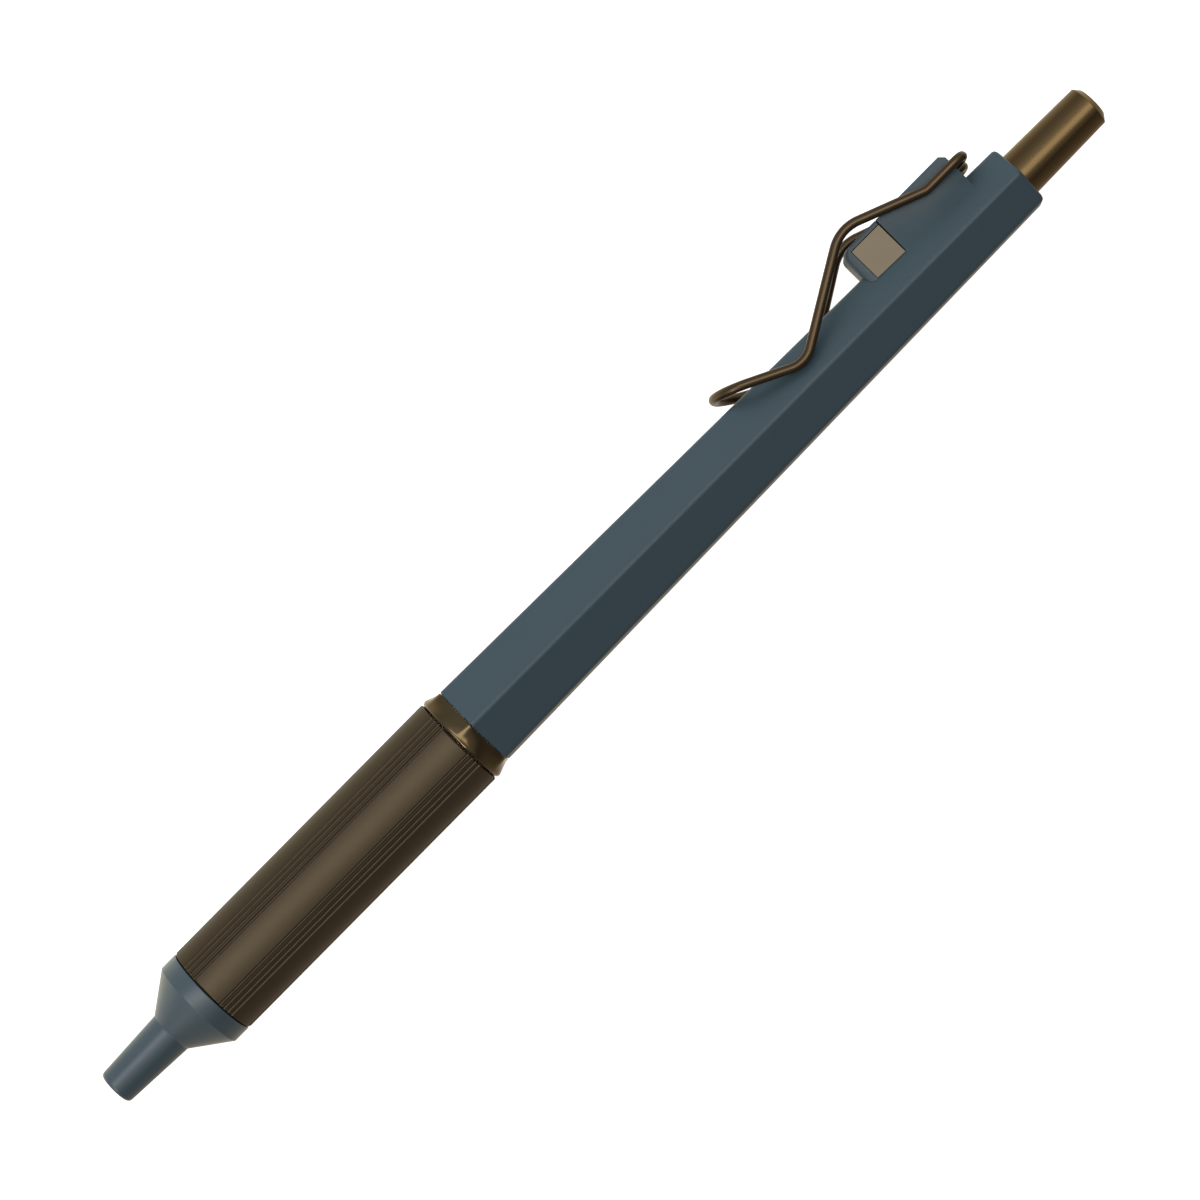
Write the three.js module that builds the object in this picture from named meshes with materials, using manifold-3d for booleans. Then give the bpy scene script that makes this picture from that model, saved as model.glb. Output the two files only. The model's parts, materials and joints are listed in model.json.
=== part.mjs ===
// A retractable ballpoint pen lying on its side, in millimetres.
// +X runs along the pen from the writing tip to the push button, +Y towards the clip, +Z is up.
// Stations along the pen are counted from the mouth of the nozzle, radii from the pen's axis.
// The pen is shown retracted, as it lies in the photograph.

import * as THREE from 'three';
import { mergeVertices } from 'three/addons/utils/BufferGeometryUtils.js';
import Module from 'manifold-3d';

const wasm = await Module();
wasm.setup();

// Fits shared by several pieces
const runningGap = 0.05;      // radial play of pieces that slide or screw into each other
const stopGap = 0.1;          // play between faces that meet lengthwise
const seamGap = 0.1;          // the fine dark line between two outer pieces
const cutPast = 1;            // how far a cut runs past the face that it opens
const stroke = 6;             // full travel of the button

// Nozzle
const nozzleTubeLength = 8.23;
const nozzleConeLength = 4.06;
const nozzleBandLength = 1.91;
const nozzleTipRadius = 2.015;
const nozzleTubeRadius = 2.42;
const nozzleRadius = 5.34;
const nozzleTipRounding = 0.5;
const nozzleMouthRadius = 1.25;
const nozzleMouthLength = 3;
const mouthChamfer = 0.15;
const nozzleTubeBore = 1.5;
const springSeatSetback = 2.82;
const springChamberRadius = 2.6;
const chamberLeadLength = 1;
const chamberLeadDepth = 0.6;
const nozzleSpigotLength = 6;
const seamChamfer = 0.15;

// Grip sleeve with its fine lengthwise grooves
const gripLength = 36.05;
const gripRadius = 5.365;
const gripBore = 4.5;
const gripChamfer = 0.22;
const grooveGroups = 6;
const groovesPerGroup = 4;
const groovePitch = 0.6;
const grooveWidth = 0.34;
const grooveDepth = 0.16;

// Grip liner and joint collar
const linerBore = 3.4;
const collarRadius = 3.9;
const collarBore = 3.2;
const collarFlangeRadius = 4.4;
const collarFlangeLength = 1;
const collarInLiner = 6;
const collarInBarrel = 8;

// Coupling ring, round at the grip and hexagonal at the barrel
const ringLength = 2.1;
const ringRadius = 5.42;
const ringCrestSetback = 0.45;
const ringEdgeDrop = 0.3;

// Barrel: a tapered hexagon with a vertex on top and a flat towards the clip
const barrelLength = 79.65;
const barrelFrontHeight = 4.78;   // axis to flat at the grip end
const barrelRearHeight = 3.625;   // axis to flat at the button end
const barrelEdgeRadius = 0.7;
const barrelRearRounding = 0.5;
const barrelFrontChamfer = 0.08;
const barrelBore = 3.4;
const mechanismBore = 3.05;
const mechanismBoreLength = 29;
const buttonLipLength = 1.3;

// Clip block, half of it moulded on the barrel and half a piece of its own
const blockSetback = 4.25;        // from the barrel's rear end to the block's rear face
const blockLength = 9.64;
const blockHalfWidth = 3;
const blockHeight = 7.12;
const blockRearChamfer = 0.55;
const blockEdge = 0.18;
const blockFoot = 1.9;
const noseLength = 5.03;
const noseFrontRounding = 0.9;
const noseCornerRadius = 0.8;
const tongueLength = 3;
const tongueRoot = 0.5;           // how deep the tongue starts in the nose
const tongueWidth = 2.4;
const tongueHeight = 1.6;
const tongueLevel = 5.5;
const inlayLength = 3.95;
const inlayFoot = 2.5;
const inlayTop = 6.57;
const inlayThickness = 0.5;

// Clip wire
const wireRadius = 0.525;
const wireHoleRadius = 0.92;
const wireInHole = 3;
const hookReach = 1.28;           // centre of the hook's outer end past the block's rear face
const hookHalfSpread = 1.65;
const wireLevel = 5.18;           // height of the straight rear runs above the axis
const legHalfSpread = 3.85;
const freeHalfSpread = 4.3;
const rearBendSetback = 3.88;     // from the block's rear face to the bend
const descentLength = 9.32;
const peakHeight = 8.75;
const peakSkew = 0.3;             // the upper leg bends so much further to the rear, the lower to the front
const riseLength = 11.93;
const freeEndLength = 9.15;
const freeEndSlope = 26.8;        // degrees
const peakBend = 4.2;
const valleyBend = 3;
const rearBend = 1.6;
const hookBend = 1.09;
const wireOffBarrel = 0.05;
const clipLean = 4.6;             // degrees by which the wire leans; its upper leg stands out further
const freeEndLean = 3;            // degrees that are left of the lean at the free end

// Push button and its plunger
const buttonOut = 10.7;           // how far the button stands out of the barrel
const buttonRootRadius = 2.58;
const buttonEndRadius = 2.42;
const buttonChamferLength = 0.55;
const buttonFaceRadius = 1.75;
const buttonFlangeRadius = 2.95;
const buttonFlangeLength = 1.2;
const buttonSkirtLength = 1.8;
const stemRadius = 1.65;
const stemLength = 8.7;
const stemRoot = 2;               // how deep the stem starts in the head
const plungerHeadLength = 14.6;
const crownRadius = 2.1;
const crownBore = 1;
const crownTeeth = 8;
const toothHeight = 1;
const keyCount = 4;
const keyRadius = 2.5;
const keyWidth = 26;              // degrees
const plungerKeySetback = 1.6;
const plungerKeyLength = 4.5;

// Rotor and guide sleeve
const rotorLength = 8.7;
const rotorFinLength = 5.8;
const rotorPinLength = 3;         // the pin that centres the rotor in the plunger's bore
const socketDepth = 1.5;
const latchTravel = 5.2;          // travel at which the fins clear the ribs
const toothShift = 1 / 6;         // the rotor stands this share of a tooth behind the plunger
const guideRadius = 3;
const guideBore = 2.62;
const guideCollarRadius = 3.35;
const guideCollarLength = 0.8;
const guideReserve = 0.5;         // room behind the guide at the end of the stroke
const ribRadius = 2.2;
const ribWidth = 58;              // degrees
const ribSlant = 1.1;

// Refill and return spring
const tipSetback = 2.7;           // tip inside the mouth when retracted
const ballRadius = 0.14;
const ballProud = 0.09;
const ballPlay = 0.015;
const ballSeatRadius = 0.07;
const ballSeatLength = 0.08;
const tipNoseRadius = 0.2;
const tipInkwayRadius = 0.12;
const tipConeLength = 1.9;
const tipConeRadius = 0.6;
const tipShoulderLength = 2.5;
const tipRadius = 1.15;
const tipBodyLength = 6.4;
const tipSpigotLength = 3.1;
const tipSpigotRadius = 0.8;
const tipInkBore = 0.4;
const jointRadius = 1.25;
const jointLength = 15;
const jointSeatRadius = 1.95;
const jointSeatLength = 1;
const jointSpigotRadius = 1.15;
const jointSpigotLength = 4.5;
const jointInkBore = 0.35;
const valveChamberLength = 1.9;
const valveSeatLength = 0.4;
const valveBallRadius = 0.6;
const tubeRadius = 1.5;
const tubeBore = 1.2;
const inkLength = 50;
const followerLength = 4;
const springTurns = 14;
const springRadius = 1.7;
const springWireRadius = 0.175;

// Facets
const outerFacets = 48;
const innerFacets = 36;
const fineFacets = 24;
const wireFacets = 10;
const springFacets = 5;
const springSteps = 8;
const edgeSteps = 4;
const gripPlainSteps = 6;         // facets between two groups of grooves
const ringFlatSteps = 4;          // facets on each half of the ring's flats
const ringRoundSteps = 3;
const facetsPerTooth = 6;
const sectorStep = 10;            // degrees
const wireBendStep = 0.75;
const wireStraightStep = 2;
const ballFacets = 14;
const ballRings = 9;

// Stations worked out from the sizes above
const coneStart = nozzleTubeLength;
const bandStart = coneStart + nozzleConeLength;
const nozzleEnd = bandStart + nozzleBandLength;
const gripStart = nozzleEnd + seamGap;
const gripEnd = gripStart + gripLength;
const ringStart = gripEnd + seamGap;
const ringEnd = ringStart + ringLength;
const barrelStart = ringEnd + seamGap;
const barrelEnd = barrelStart + barrelLength;
const springSeat = nozzleTubeLength + springSeatSetback;

const blockRear = barrelEnd - blockSetback;
const blockFront = blockRear - blockLength;
const noseRear = blockFront - seamGap;
const noseFront = noseRear - noseLength;
const bendStation = blockRear - rearBendSetback;
const peakStation = bendStation - descentLength;
const valleyStation = peakStation - riseLength;
const freeStation = valleyStation - freeEndLength;

const lipStart = barrelEnd - buttonLipLength;
const mechanismShoulder = barrelEnd - mechanismBoreLength;
const flangeEnd = lipStart - stopGap;
const flangeStart = flangeEnd - buttonFlangeLength;
const buttonStart = flangeStart - buttonSkirtLength;
const buttonEnd = barrelEnd + buttonOut;
const plungerEnd = buttonStart - stopGap;
const crownStation = plungerEnd - plungerHeadLength;
const rotorRear = crownStation - stopGap;
const rotorFront = rotorRear - rotorLength;
const finStart = rotorRear - rotorFinLength;
const guideStart = mechanismShoulder - stopGap - guideCollarLength;
const guideEnd = buttonStart - stroke - guideReserve;
const crownMiddle = (crownBore + crownRadius) / 2;
const ribStart = rotorRear - latchTravel;

const tipStart = tipSetback;
const tipBodyStart = tipStart + tipConeLength + tipShoulderLength;
const tipBodyEnd = tipBodyStart + tipBodyLength;
const jointStart = tipBodyEnd + runningGap;
const tipSpigotEnd = tipBodyEnd + tipSpigotLength;
const valveStart = tipSpigotEnd + stopGap;
const seatStart = jointStart + jointLength;
const seatEnd = seatStart + jointSeatLength;
const tubeStart = seatEnd + runningGap;
const tubeEnd = rotorFront + socketDepth - stopGap;
const inkStart = tubeStart + jointSpigotLength + runningGap;
const inkEnd = inkStart + inkLength;

// Axis to flat of the tapered barrel at a station
function flatHeight(x) {
  const along = (x - barrelStart) / barrelLength;
  return THREE.MathUtils.lerp(barrelFrontHeight, barrelRearHeight, along);
}

// Finishes, read from the photograph
const finish = (color, roughness, metalness) =>
  new THREE.MeshStandardMaterial({ color, roughness, metalness });
const bluePaint = finish(0x3f5866, 0.5, 0);
const bluePlastic = finish(0x40596a, 0.55, 0);
const bronze = finish(0x4b4136, 0.4, 0.8);
const glossBronze = finish(0x453626, 0.15, 0.9);
const warmGrey = finish(0x867a6c, 0.45, 0.6);
const wireBronze = finish(0x5a4733, 0.35, 0.9);
const clearPlastic = finish(0xcfd6d8, 0.25, 0);
const whitePlastic = finish(0xe4e2dc, 0.5, 0);
const steel = finish(0xb9bcc0, 0.25, 1);
const ballCarbide = finish(0x8d9096, 0.1, 1);
const ink = finish(0x15161c, 0.3, 0);
const grease = finish(0xd8d0a8, 0.2, 0);

const pen = new THREE.Group();

function add(name, geometry, material) {
  const mesh = new THREE.Mesh(geometry, material);
  mesh.name = name;
  pen.add(mesh);
  return mesh;
}

// Turns a closed three.js geometry into a solid that can be cut and joined
function solid(geometry) {
  const bare = geometry.clone();
  bare.deleteAttribute('normal');
  bare.deleteAttribute('uv');
  const welded = mergeVertices(bare, 1e-5);
  return new wasm.Manifold(new wasm.Mesh({
    numProp: 3,
    vertProperties: new Float32Array(welded.attributes.position.array),
    triVerts: new Uint32Array(welded.index.array),
  }));
}

function geometryOf(body) {
  const mesh = body.getMesh();
  const geometry = new THREE.BufferGeometry();
  geometry.setAttribute('position', new THREE.BufferAttribute(mesh.vertProperties, 3));
  geometry.setIndex(new THREE.BufferAttribute(mesh.triVerts, 1));
  geometry.computeVertexNormals();
  return geometry;
}

// Six times the signed volume of an indexed geometry, positive when its faces point out
function signedVolume(geometry) {
  const position = geometry.attributes.position;
  const corners = [new THREE.Vector3(), new THREE.Vector3(), new THREE.Vector3()];
  let sum = 0;
  for (let i = 0; i < geometry.index.count; i += 3) {
    corners.forEach((corner, j) => corner.fromBufferAttribute(position, geometry.index.getX(i + j)));
    sum += corners[0].dot(corners[1].clone().cross(corners[2]));
  }
  return sum;
}

// Skins a list of rings that each have the same number of points.
// A closed list joins its last ring to its first, as a tube's wall does; an open one gets two caps.
function loft(rings, closed) {
  const count = rings[0].length;
  const positions = rings.flat().flatMap((p) => [p.x, p.y, p.z]);
  const indices = [];
  const spans = closed ? rings.length : rings.length - 1;
  for (let i = 0; i < spans; i += 1) {
    const here = i * count;
    const next = ((i + 1) % rings.length) * count;
    for (let j = 0; j < count; j += 1) {
      const k = (j + 1) % count;
      indices.push(here + j, here + k, next + k, here + j, next + k, next + j);
    }
  }
  if (!closed) {
    [[0, -1], [rings.length - 1, 1]].forEach(([ring, side]) => {
      const centre = new THREE.Vector3();
      rings[ring].forEach((p) => centre.addScaledVector(p, 1 / count));
      const hub = positions.length / 3;
      positions.push(centre.x, centre.y, centre.z);
      for (let j = 0; j < count; j += 1) {
        const a = ring * count + j;
        const b = ring * count + ((j + 1) % count);
        indices.push(...(side > 0 ? [a, b, hub] : [b, a, hub]));
      }
    });
  }
  const geometry = new THREE.BufferGeometry();
  geometry.setAttribute('position', new THREE.Float32BufferAttribute(positions, 3));
  geometry.setIndex(indices);
  if (signedVolume(geometry) < 0) {
    for (let i = 0; i < indices.length; i += 3) {
      [indices[i], indices[i + 1]] = [indices[i + 1], indices[i]];
    }
    geometry.setIndex(indices);
  }
  geometry.computeVertexNormals();
  return geometry;
}

// Point at a station, a radius and an angle that is counted from +Z towards +Y
function polar(x, radius, angle) {
  return new THREE.Vector3(x, radius * Math.sin(angle), radius * Math.cos(angle));
}

// Turns a closed [station, radius] profile round the pen's axis
function revolve(profile, facets) {
  const points = [...profile, profile[0]].map(([x, radius]) => new THREE.Vector2(radius, x));
  const geometry = new THREE.LatheGeometry(points, facets);
  geometry.rotateZ(-Math.PI / 2);
  const welded = geometry.clone();
  welded.deleteAttribute('normal');
  welded.deleteAttribute('uv');
  const closed = dropSlivers(mergeVertices(welded, 1e-5));
  if (signedVolume(closed) < 0) {
    const index = closed.index.array;
    for (let i = 0; i < index.length; i += 3) {
      [index[i], index[i + 1]] = [index[i + 1], index[i]];
    }
  }
  closed.computeVertexNormals();
  return closed;
}

// Removes the triangles that a revolve leaves without area on its axis
function dropSlivers(geometry) {
  const kept = [];
  const index = geometry.index.array;
  for (let i = 0; i < index.length; i += 3) {
    const [a, b, c] = [index[i], index[i + 1], index[i + 2]];
    if (a !== b && b !== c && a !== c) kept.push(a, b, c);
  }
  geometry.setIndex(kept);
  return geometry;
}

// A plain round rod or hole between two stations
function rod(from, to, radius, facets) {
  return solid(revolve([[from, 0], [from, radius], [to, radius], [to, 0]], facets));
}

// A profile of [x, y] points in the side view, extruded evenly to both sides of the middle plane
function sideExtrude(points, halfWidth, edge) {
  const shape = new THREE.Shape(points.map(([x, y]) => new THREE.Vector2(x, y)));
  const geometry = new THREE.ExtrudeGeometry(shape, {
    depth: 2 * (halfWidth - edge),
    bevelEnabled: edge > 0,
    bevelThickness: edge,
    bevelSize: edge,
    bevelOffset: -edge,
    bevelSegments: 1,
  });
  geometry.translate(0, 0, -(halfWidth - edge));
  return solid(geometry);
}

// An arc of [x, y] points from one angle to another, in degrees
function arc(cx, cy, radius, from, to, steps) {
  return Array.from({ length: steps + 1 }, (_, i) => {
    const angle = THREE.MathUtils.degToRad(from + ((to - from) * i) / steps);
    return [cx + radius * Math.cos(angle), cy + radius * Math.sin(angle)];
  });
}

// A box between two corners
function box(low, high) {
  const size = high.map((value, i) => value - low[i]);
  const geometry = new THREE.BoxGeometry(...size);
  geometry.translate(...low.map((value, i) => value + size[i] / 2));
  return solid(geometry);
}

// A hexagonal ring with rounded edges; its vertices lie on +Z, -Z and between
function hexagonRing(x, height, edgeRadius, steps) {
  const ring = [];
  const centreDistance = (height - edgeRadius) / Math.cos(Math.PI / 6);
  for (let corner = 0; corner < 6; corner += 1) {
    const middle = (corner * Math.PI) / 3;
    const centre = polar(x, centreDistance, middle);
    for (let i = 0; i <= steps; i += 1) {
      const turn = middle + (i / steps - 0.5) * (Math.PI / 3);
      ring.push(centre.clone().add(polar(0, edgeRadius, turn)));
    }
  }
  return ring;
}

// The nozzle: tube, sharp cone and band, with the spring's chamber and the threaded spigot behind
function nozzle() {
  const spigotEnd = nozzleEnd + nozzleSpigotLength;
  const spigotRadius = gripBore - runningGap;
  const roundingFoot = nozzleTipRadius - nozzleTipRounding;
  const tip = arc(nozzleTipRounding, roundingFoot, nozzleTipRounding, 180, 90, edgeSteps);
  return revolve([
    [mouthChamfer, nozzleMouthRadius],
    [0, nozzleMouthRadius + mouthChamfer],
    ...tip,
    [coneStart, nozzleTubeRadius],
    [bandStart, nozzleRadius],
    [nozzleEnd - seamChamfer, nozzleRadius],
    [nozzleEnd, nozzleRadius - seamChamfer],
    [nozzleEnd, spigotRadius],
    [spigotEnd, spigotRadius],
    [spigotEnd, springChamberRadius + chamberLeadDepth],
    [spigotEnd - chamberLeadLength, springChamberRadius],
    [springSeat, springChamberRadius],
    [springSeat, nozzleTubeBore],
    [nozzleMouthLength + nozzleTubeBore - nozzleMouthRadius, nozzleTubeBore],
    [nozzleMouthLength, nozzleMouthRadius],
  ], outerFacets);
}

// The grip sleeve: a tube whose outside carries groups of fine grooves that fade into its end chamfers
function gripSleeve() {
  const columns = [];
  const pitch = groovePitch / gripRadius;
  const half = grooveWidth / 2 / gripRadius;
  const groupTurn = (2 * Math.PI) / grooveGroups;
  const groupHalf = ((groovesPerGroup - 1) / 2) * pitch + half;
  for (let group = 0; group < grooveGroups; group += 1) {
    const middle = (group + 0.5) * groupTurn;
    for (let i = 0; i < groovesPerGroup; i += 1) {
      const centre = middle + (i - (groovesPerGroup - 1) / 2) * pitch;
      columns.push([centre - half, 0], [centre - half / 2, 1], [centre + half / 2, 1], [centre + half, 0]);
    }
    const plain = groupTurn - 2 * groupHalf;
    for (let i = 1; i < gripPlainSteps; i += 1) {
      columns.push([middle + groupHalf + (plain * i) / gripPlainSteps, 0]);
    }
  }
  const ring = (x, radius, depth) => columns.map(([angle, cut]) => polar(x, radius - depth * cut, angle));
  return loft([
    ring(gripStart, gripBore, 0),
    ring(gripStart, gripRadius - gripChamfer, 0),
    ring(gripStart + gripChamfer / 2, gripRadius - gripChamfer / 4, grooveDepth / 2),
    ring(gripStart + gripChamfer * 2, gripRadius, grooveDepth),
    ring(gripEnd - gripChamfer * 2, gripRadius, grooveDepth),
    ring(gripEnd - gripChamfer / 2, gripRadius - gripChamfer / 4, grooveDepth / 2),
    ring(gripEnd, gripRadius - gripChamfer, 0),
    ring(gripEnd, gripBore, 0),
  ], true);
}

// The moulded liner between the nozzle's spigot and the grip's rear end
function gripLiner() {
  const start = nozzleEnd + nozzleSpigotLength + stopGap;
  const outside = gripBore - runningGap;
  const socket = collarRadius + runningGap;
  const socketStart = ringStart - collarInLiner - stopGap;
  return revolve([
    [start, linerBore],
    [start, outside],
    [gripEnd - stopGap, outside],
    [gripEnd - stopGap, socket],
    [socketStart, socket],
    [socketStart, linerBore],
  ], innerFacets);
}

// The threaded collar that joins grip and barrel; its flange sits in the ring
function jointCollar() {
  const flangeFront = ringStart + stopGap / 2;
  return revolve([
    [ringStart - collarInLiner, collarBore],
    [ringStart - collarInLiner, collarRadius],
    [flangeFront, collarRadius],
    [flangeFront, collarFlangeRadius],
    [flangeFront + collarFlangeLength, collarFlangeRadius],
    [flangeFront + collarFlangeLength, collarRadius],
    [barrelStart + collarInBarrel, collarRadius],
    [barrelStart + collarInBarrel, collarBore],
  ], innerFacets);
}

// Polar radius of the rounded hexagon at an angle from +Z
function hexagonRadius(angle, height, edgeRadius) {
  const sextant = Math.PI / 3;
  const fromVertex = angle - Math.round(angle / sextant) * sextant;
  const centreDistance = (height - edgeRadius) / Math.cos(Math.PI / 6);
  const tangent = Math.atan2(edgeRadius / 2, centreDistance + edgeRadius * Math.cos(Math.PI / 6));
  if (Math.abs(fromVertex) < tangent + 1e-9) {
    const across = centreDistance * Math.sin(fromVertex);
    return centreDistance * Math.cos(fromVertex) + Math.sqrt(edgeRadius ** 2 - across ** 2);
  }
  return height / Math.cos(Math.abs(fromVertex) - Math.PI / 6);
}

// The ring's outside runs straight from a circle at its crest to the barrel's hexagon at its rear edge
function couplingRing() {
  const height = barrelFrontHeight;
  const half = Math.PI / 6;
  const centreDistance = (height - barrelEdgeRadius) / Math.cos(half);
  const alongEdge = centreDistance + barrelEdgeRadius * Math.cos(half);
  const tangent = Math.atan2(barrelEdgeRadius / 2, alongEdge);
  const spread = Array.from({ length: ringFlatSteps - 1 }, (_, i) => {
    return tangent + (half - tangent) * ((i + 1) / ringFlatSteps);
  });
  const before = spread.map((angle) => -angle).reverse();
  const offsets = [-half, ...before, -tangent, 0, tangent, ...spread];
  const angles = [];
  for (let corner = 0; corner < 6; corner += 1) {
    offsets.forEach((offset) => angles.push((corner * Math.PI) / 3 + offset));
  }
  const hexagonal = angles.map((angle) => {
    return polar(ringEnd, hexagonRadius(angle, height, barrelEdgeRadius), angle);
  });
  const round = (x, radius) => angles.map((angle) => polar(x, radius, angle));
  const crest = ringStart + ringCrestSetback;
  const rounding = Array.from({ length: ringRoundSteps + 1 }, (_, i) => {
    const turn = (i / ringRoundSteps) * (Math.PI / 2);
    const x = crest - ringCrestSetback * Math.cos(turn);
    return round(x, ringRadius - ringEdgeDrop * (1 - Math.sin(turn)));
  });
  const bore = collarRadius + runningGap;
  const counterbore = collarFlangeRadius + runningGap;
  const counterboreEnd = ringStart + stopGap / 2 + collarFlangeLength + stopGap / 2;
  return loft([
    round(ringStart, counterbore),
    ...rounding,
    hexagonal,
    round(ringEnd, bore),
    round(counterboreEnd, bore),
    round(counterboreEnd, counterbore),
  ], true);
}

// The barrel's hexagonal outside, grown by an allowance for the pieces that sit astride it
function barrelHull(allowance) {
  const ring = (x, drop) => hexagonRing(x, flatHeight(x) + allowance - drop, barrelEdgeRadius, edgeSteps);
  const rings = [
    ring(barrelStart, barrelFrontChamfer),
    ring(barrelStart + barrelFrontChamfer, 0),
    ring(barrelEnd - barrelRearRounding, 0),
  ];
  for (let i = 1; i < edgeSteps; i += 1) {
    const turn = (i / (edgeSteps - 1)) * (Math.PI / 2);
    const x = barrelEnd - barrelRearRounding * (1 - Math.sin(turn));
    rings.push(ring(x, barrelRearRounding * (1 - Math.cos(turn))));
  }
  return solid(loft(rings, false));
}

// The mortise in the rear block that takes the nose's tongue, or the tongue itself
function tongue(play) {
  const halfWidth = tongueWidth / 2 + play;
  const halfHeight = tongueHeight / 2 + play;
  const front = noseRear - tongueRoot;
  const rear = noseRear + tongueLength + (play > 0 ? stopGap : 0);
  return box([front, tongueLevel - halfHeight, -halfWidth], [rear, tongueLevel + halfHeight, halfWidth]);
}

function barrel() {
  const chamferFoot = blockHeight - blockRearChamfer;
  const block = sideExtrude([
    [blockFront, blockFoot],
    [blockRear, blockFoot],
    [blockRear, chamferFoot],
    [blockRear - blockRearChamfer, blockHeight],
    [blockFront, blockHeight],
  ], blockHalfWidth, blockEdge);
  const front = barrelStart - cutPast;
  const collarHoleEnd = barrelStart + collarInBarrel + stopGap;
  const collarHole = rod(front, collarHoleEnd, collarRadius + runningGap, outerFacets);
  const mainBore = rod(front, mechanismShoulder, barrelBore, outerFacets);
  const rearBore = rod(mechanismShoulder - cutPast, lipStart, mechanismBore, outerFacets);
  const buttonBore = buttonRootRadius + runningGap;
  const buttonHole = rod(lipStart - cutPast, barrelEnd + cutPast, buttonBore, outerFacets);
  let body = barrelHull(0).add(block);
  [collarHole, mainBore, rearBore, buttonHole].forEach((hole) => {
    body = body.subtract(hole);
  });
  [-1, 1].forEach((side) => {
    const hole = rod(blockRear - wireInHole - stopGap, blockRear + cutPast, wireHoleRadius, fineFacets);
    body = body.subtract(hole.translate([0, wireLevel, side * hookHalfSpread]));
  });
  return geometryOf(body.subtract(tongue(runningGap)));
}

// The front part of the clip block sits astride the barrel, rounded at its front
function noseBody() {
  const rounding = noseFrontRounding;
  const side = sideExtrude([
    [noseRear, blockFoot],
    [noseRear, blockHeight],
    ...arc(noseFront + rounding, blockHeight - rounding, rounding, 90, 180, edgeSteps),
    [noseFront, blockFoot],
  ], blockHalfWidth, 0);
  const corner = noseCornerRadius;
  const plan = new THREE.Shape([
    [noseRear, -blockHalfWidth],
    [noseRear, blockHalfWidth],
    ...arc(noseFront + corner, blockHalfWidth - corner, corner, 90, 180, edgeSteps),
    ...arc(noseFront + corner, corner - blockHalfWidth, corner, 180, 270, edgeSteps),
  ].map(([x, z]) => new THREE.Vector2(x, z)));
  const planGeometry = new THREE.ExtrudeGeometry(plan, { depth: blockHeight, bevelEnabled: false });
  planGeometry.rotateX(Math.PI / 2);
  planGeometry.translate(0, blockHeight + cutPast, 0);
  return side.intersect(solid(planGeometry)).subtract(barrelHull(runningGap));
}

function inlayBlank(play) {
  const start = noseRear - inlayLength - play;
  const depth = inlayThickness + play;
  return box(
    [start, inlayFoot - play, blockHalfWidth - depth],
    [noseRear + play, inlayTop + play, blockHalfWidth + play],
  );
}

function clipBlockNose() {
  return geometryOf(noseBody().add(tongue(0)).subtract(inlayBlank(runningGap)));
}

// The square plate let into the upper side of the nose, flush with it
function noseInlay() {
  return geometryOf(inlayBlank(0).subtract(barrelHull(2 * runningGap)));
}

// Centre line through given corners, with an arc of the given radius at each inner corner
function roundedPath(corners, step) {
  const path = [corners[0].point.clone()];
  for (let i = 1; i < corners.length - 1; i += 1) {
    const here = corners[i].point;
    const back = corners[i - 1].point.clone().sub(here).normalize();
    const ahead = corners[i + 1].point.clone().sub(here).normalize();
    const opening = back.angleTo(ahead);
    const turn = Math.PI - opening;
    const reach = corners[i].bend * Math.tan(turn / 2);
    const bisector = back.clone().add(ahead).normalize();
    const centre = here.clone().addScaledVector(bisector, corners[i].bend / Math.sin(opening / 2));
    const start = here.clone().addScaledVector(back, reach);
    const axis = ahead.clone().cross(back).normalize();
    const count = Math.max(2, Math.round((corners[i].bend * turn) / step));
    for (let k = 0; k <= count; k += 1) {
      const spoke = start.clone().sub(centre).applyAxisAngle(axis, (turn * k) / count);
      path.push(centre.clone().add(spoke));
    }
  }
  path.push(corners[corners.length - 1].point.clone());
  return path;
}

// Adds points to a path wherever it runs straight for longer than a step
function subdivided(path, step) {
  const points = [path[0]];
  for (let i = 1; i < path.length; i += 1) {
    const span = path[i].distanceTo(path[i - 1]);
    const parts = Math.max(1, Math.round(span / step));
    for (let k = 1; k <= parts; k += 1) points.push(path[i - 1].clone().lerp(path[i], k / parts));
  }
  return points;
}

// A round wire along a path of points, closed at both ends
function wire(path, radius, sides) {
  const tangents = path.map((point, i) => {
    const next = path[Math.min(i + 1, path.length - 1)];
    const last = path[Math.max(i - 1, 0)];
    return next.clone().sub(last).normalize();
  });
  const across = new THREE.Vector3(0, 0, 1).cross(tangents[0]).normalize();
  if (across.length() < 0.5) across.set(0, 1, 0);
  const rings = path.map((point, i) => {
    across.addScaledVector(tangents[i], -across.dot(tangents[i])).normalize();
    const up = tangents[i].clone().cross(across);
    return Array.from({ length: sides }, (_, k) => {
      const angle = (2 * Math.PI * k) / sides;
      return point.clone()
        .addScaledVector(across, radius * Math.cos(angle))
        .addScaledVector(up, radius * Math.sin(angle));
    });
  });
  return loft(rings, false);
}

// The wire's lean at a station; it grows from the free end to the peak
function leanAt(x) {
  const share = THREE.MathUtils.smoothstep(x, freeStation, peakStation);
  return THREE.MathUtils.degToRad(THREE.MathUtils.lerp(freeEndLean, clipLean, share));
}

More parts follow.
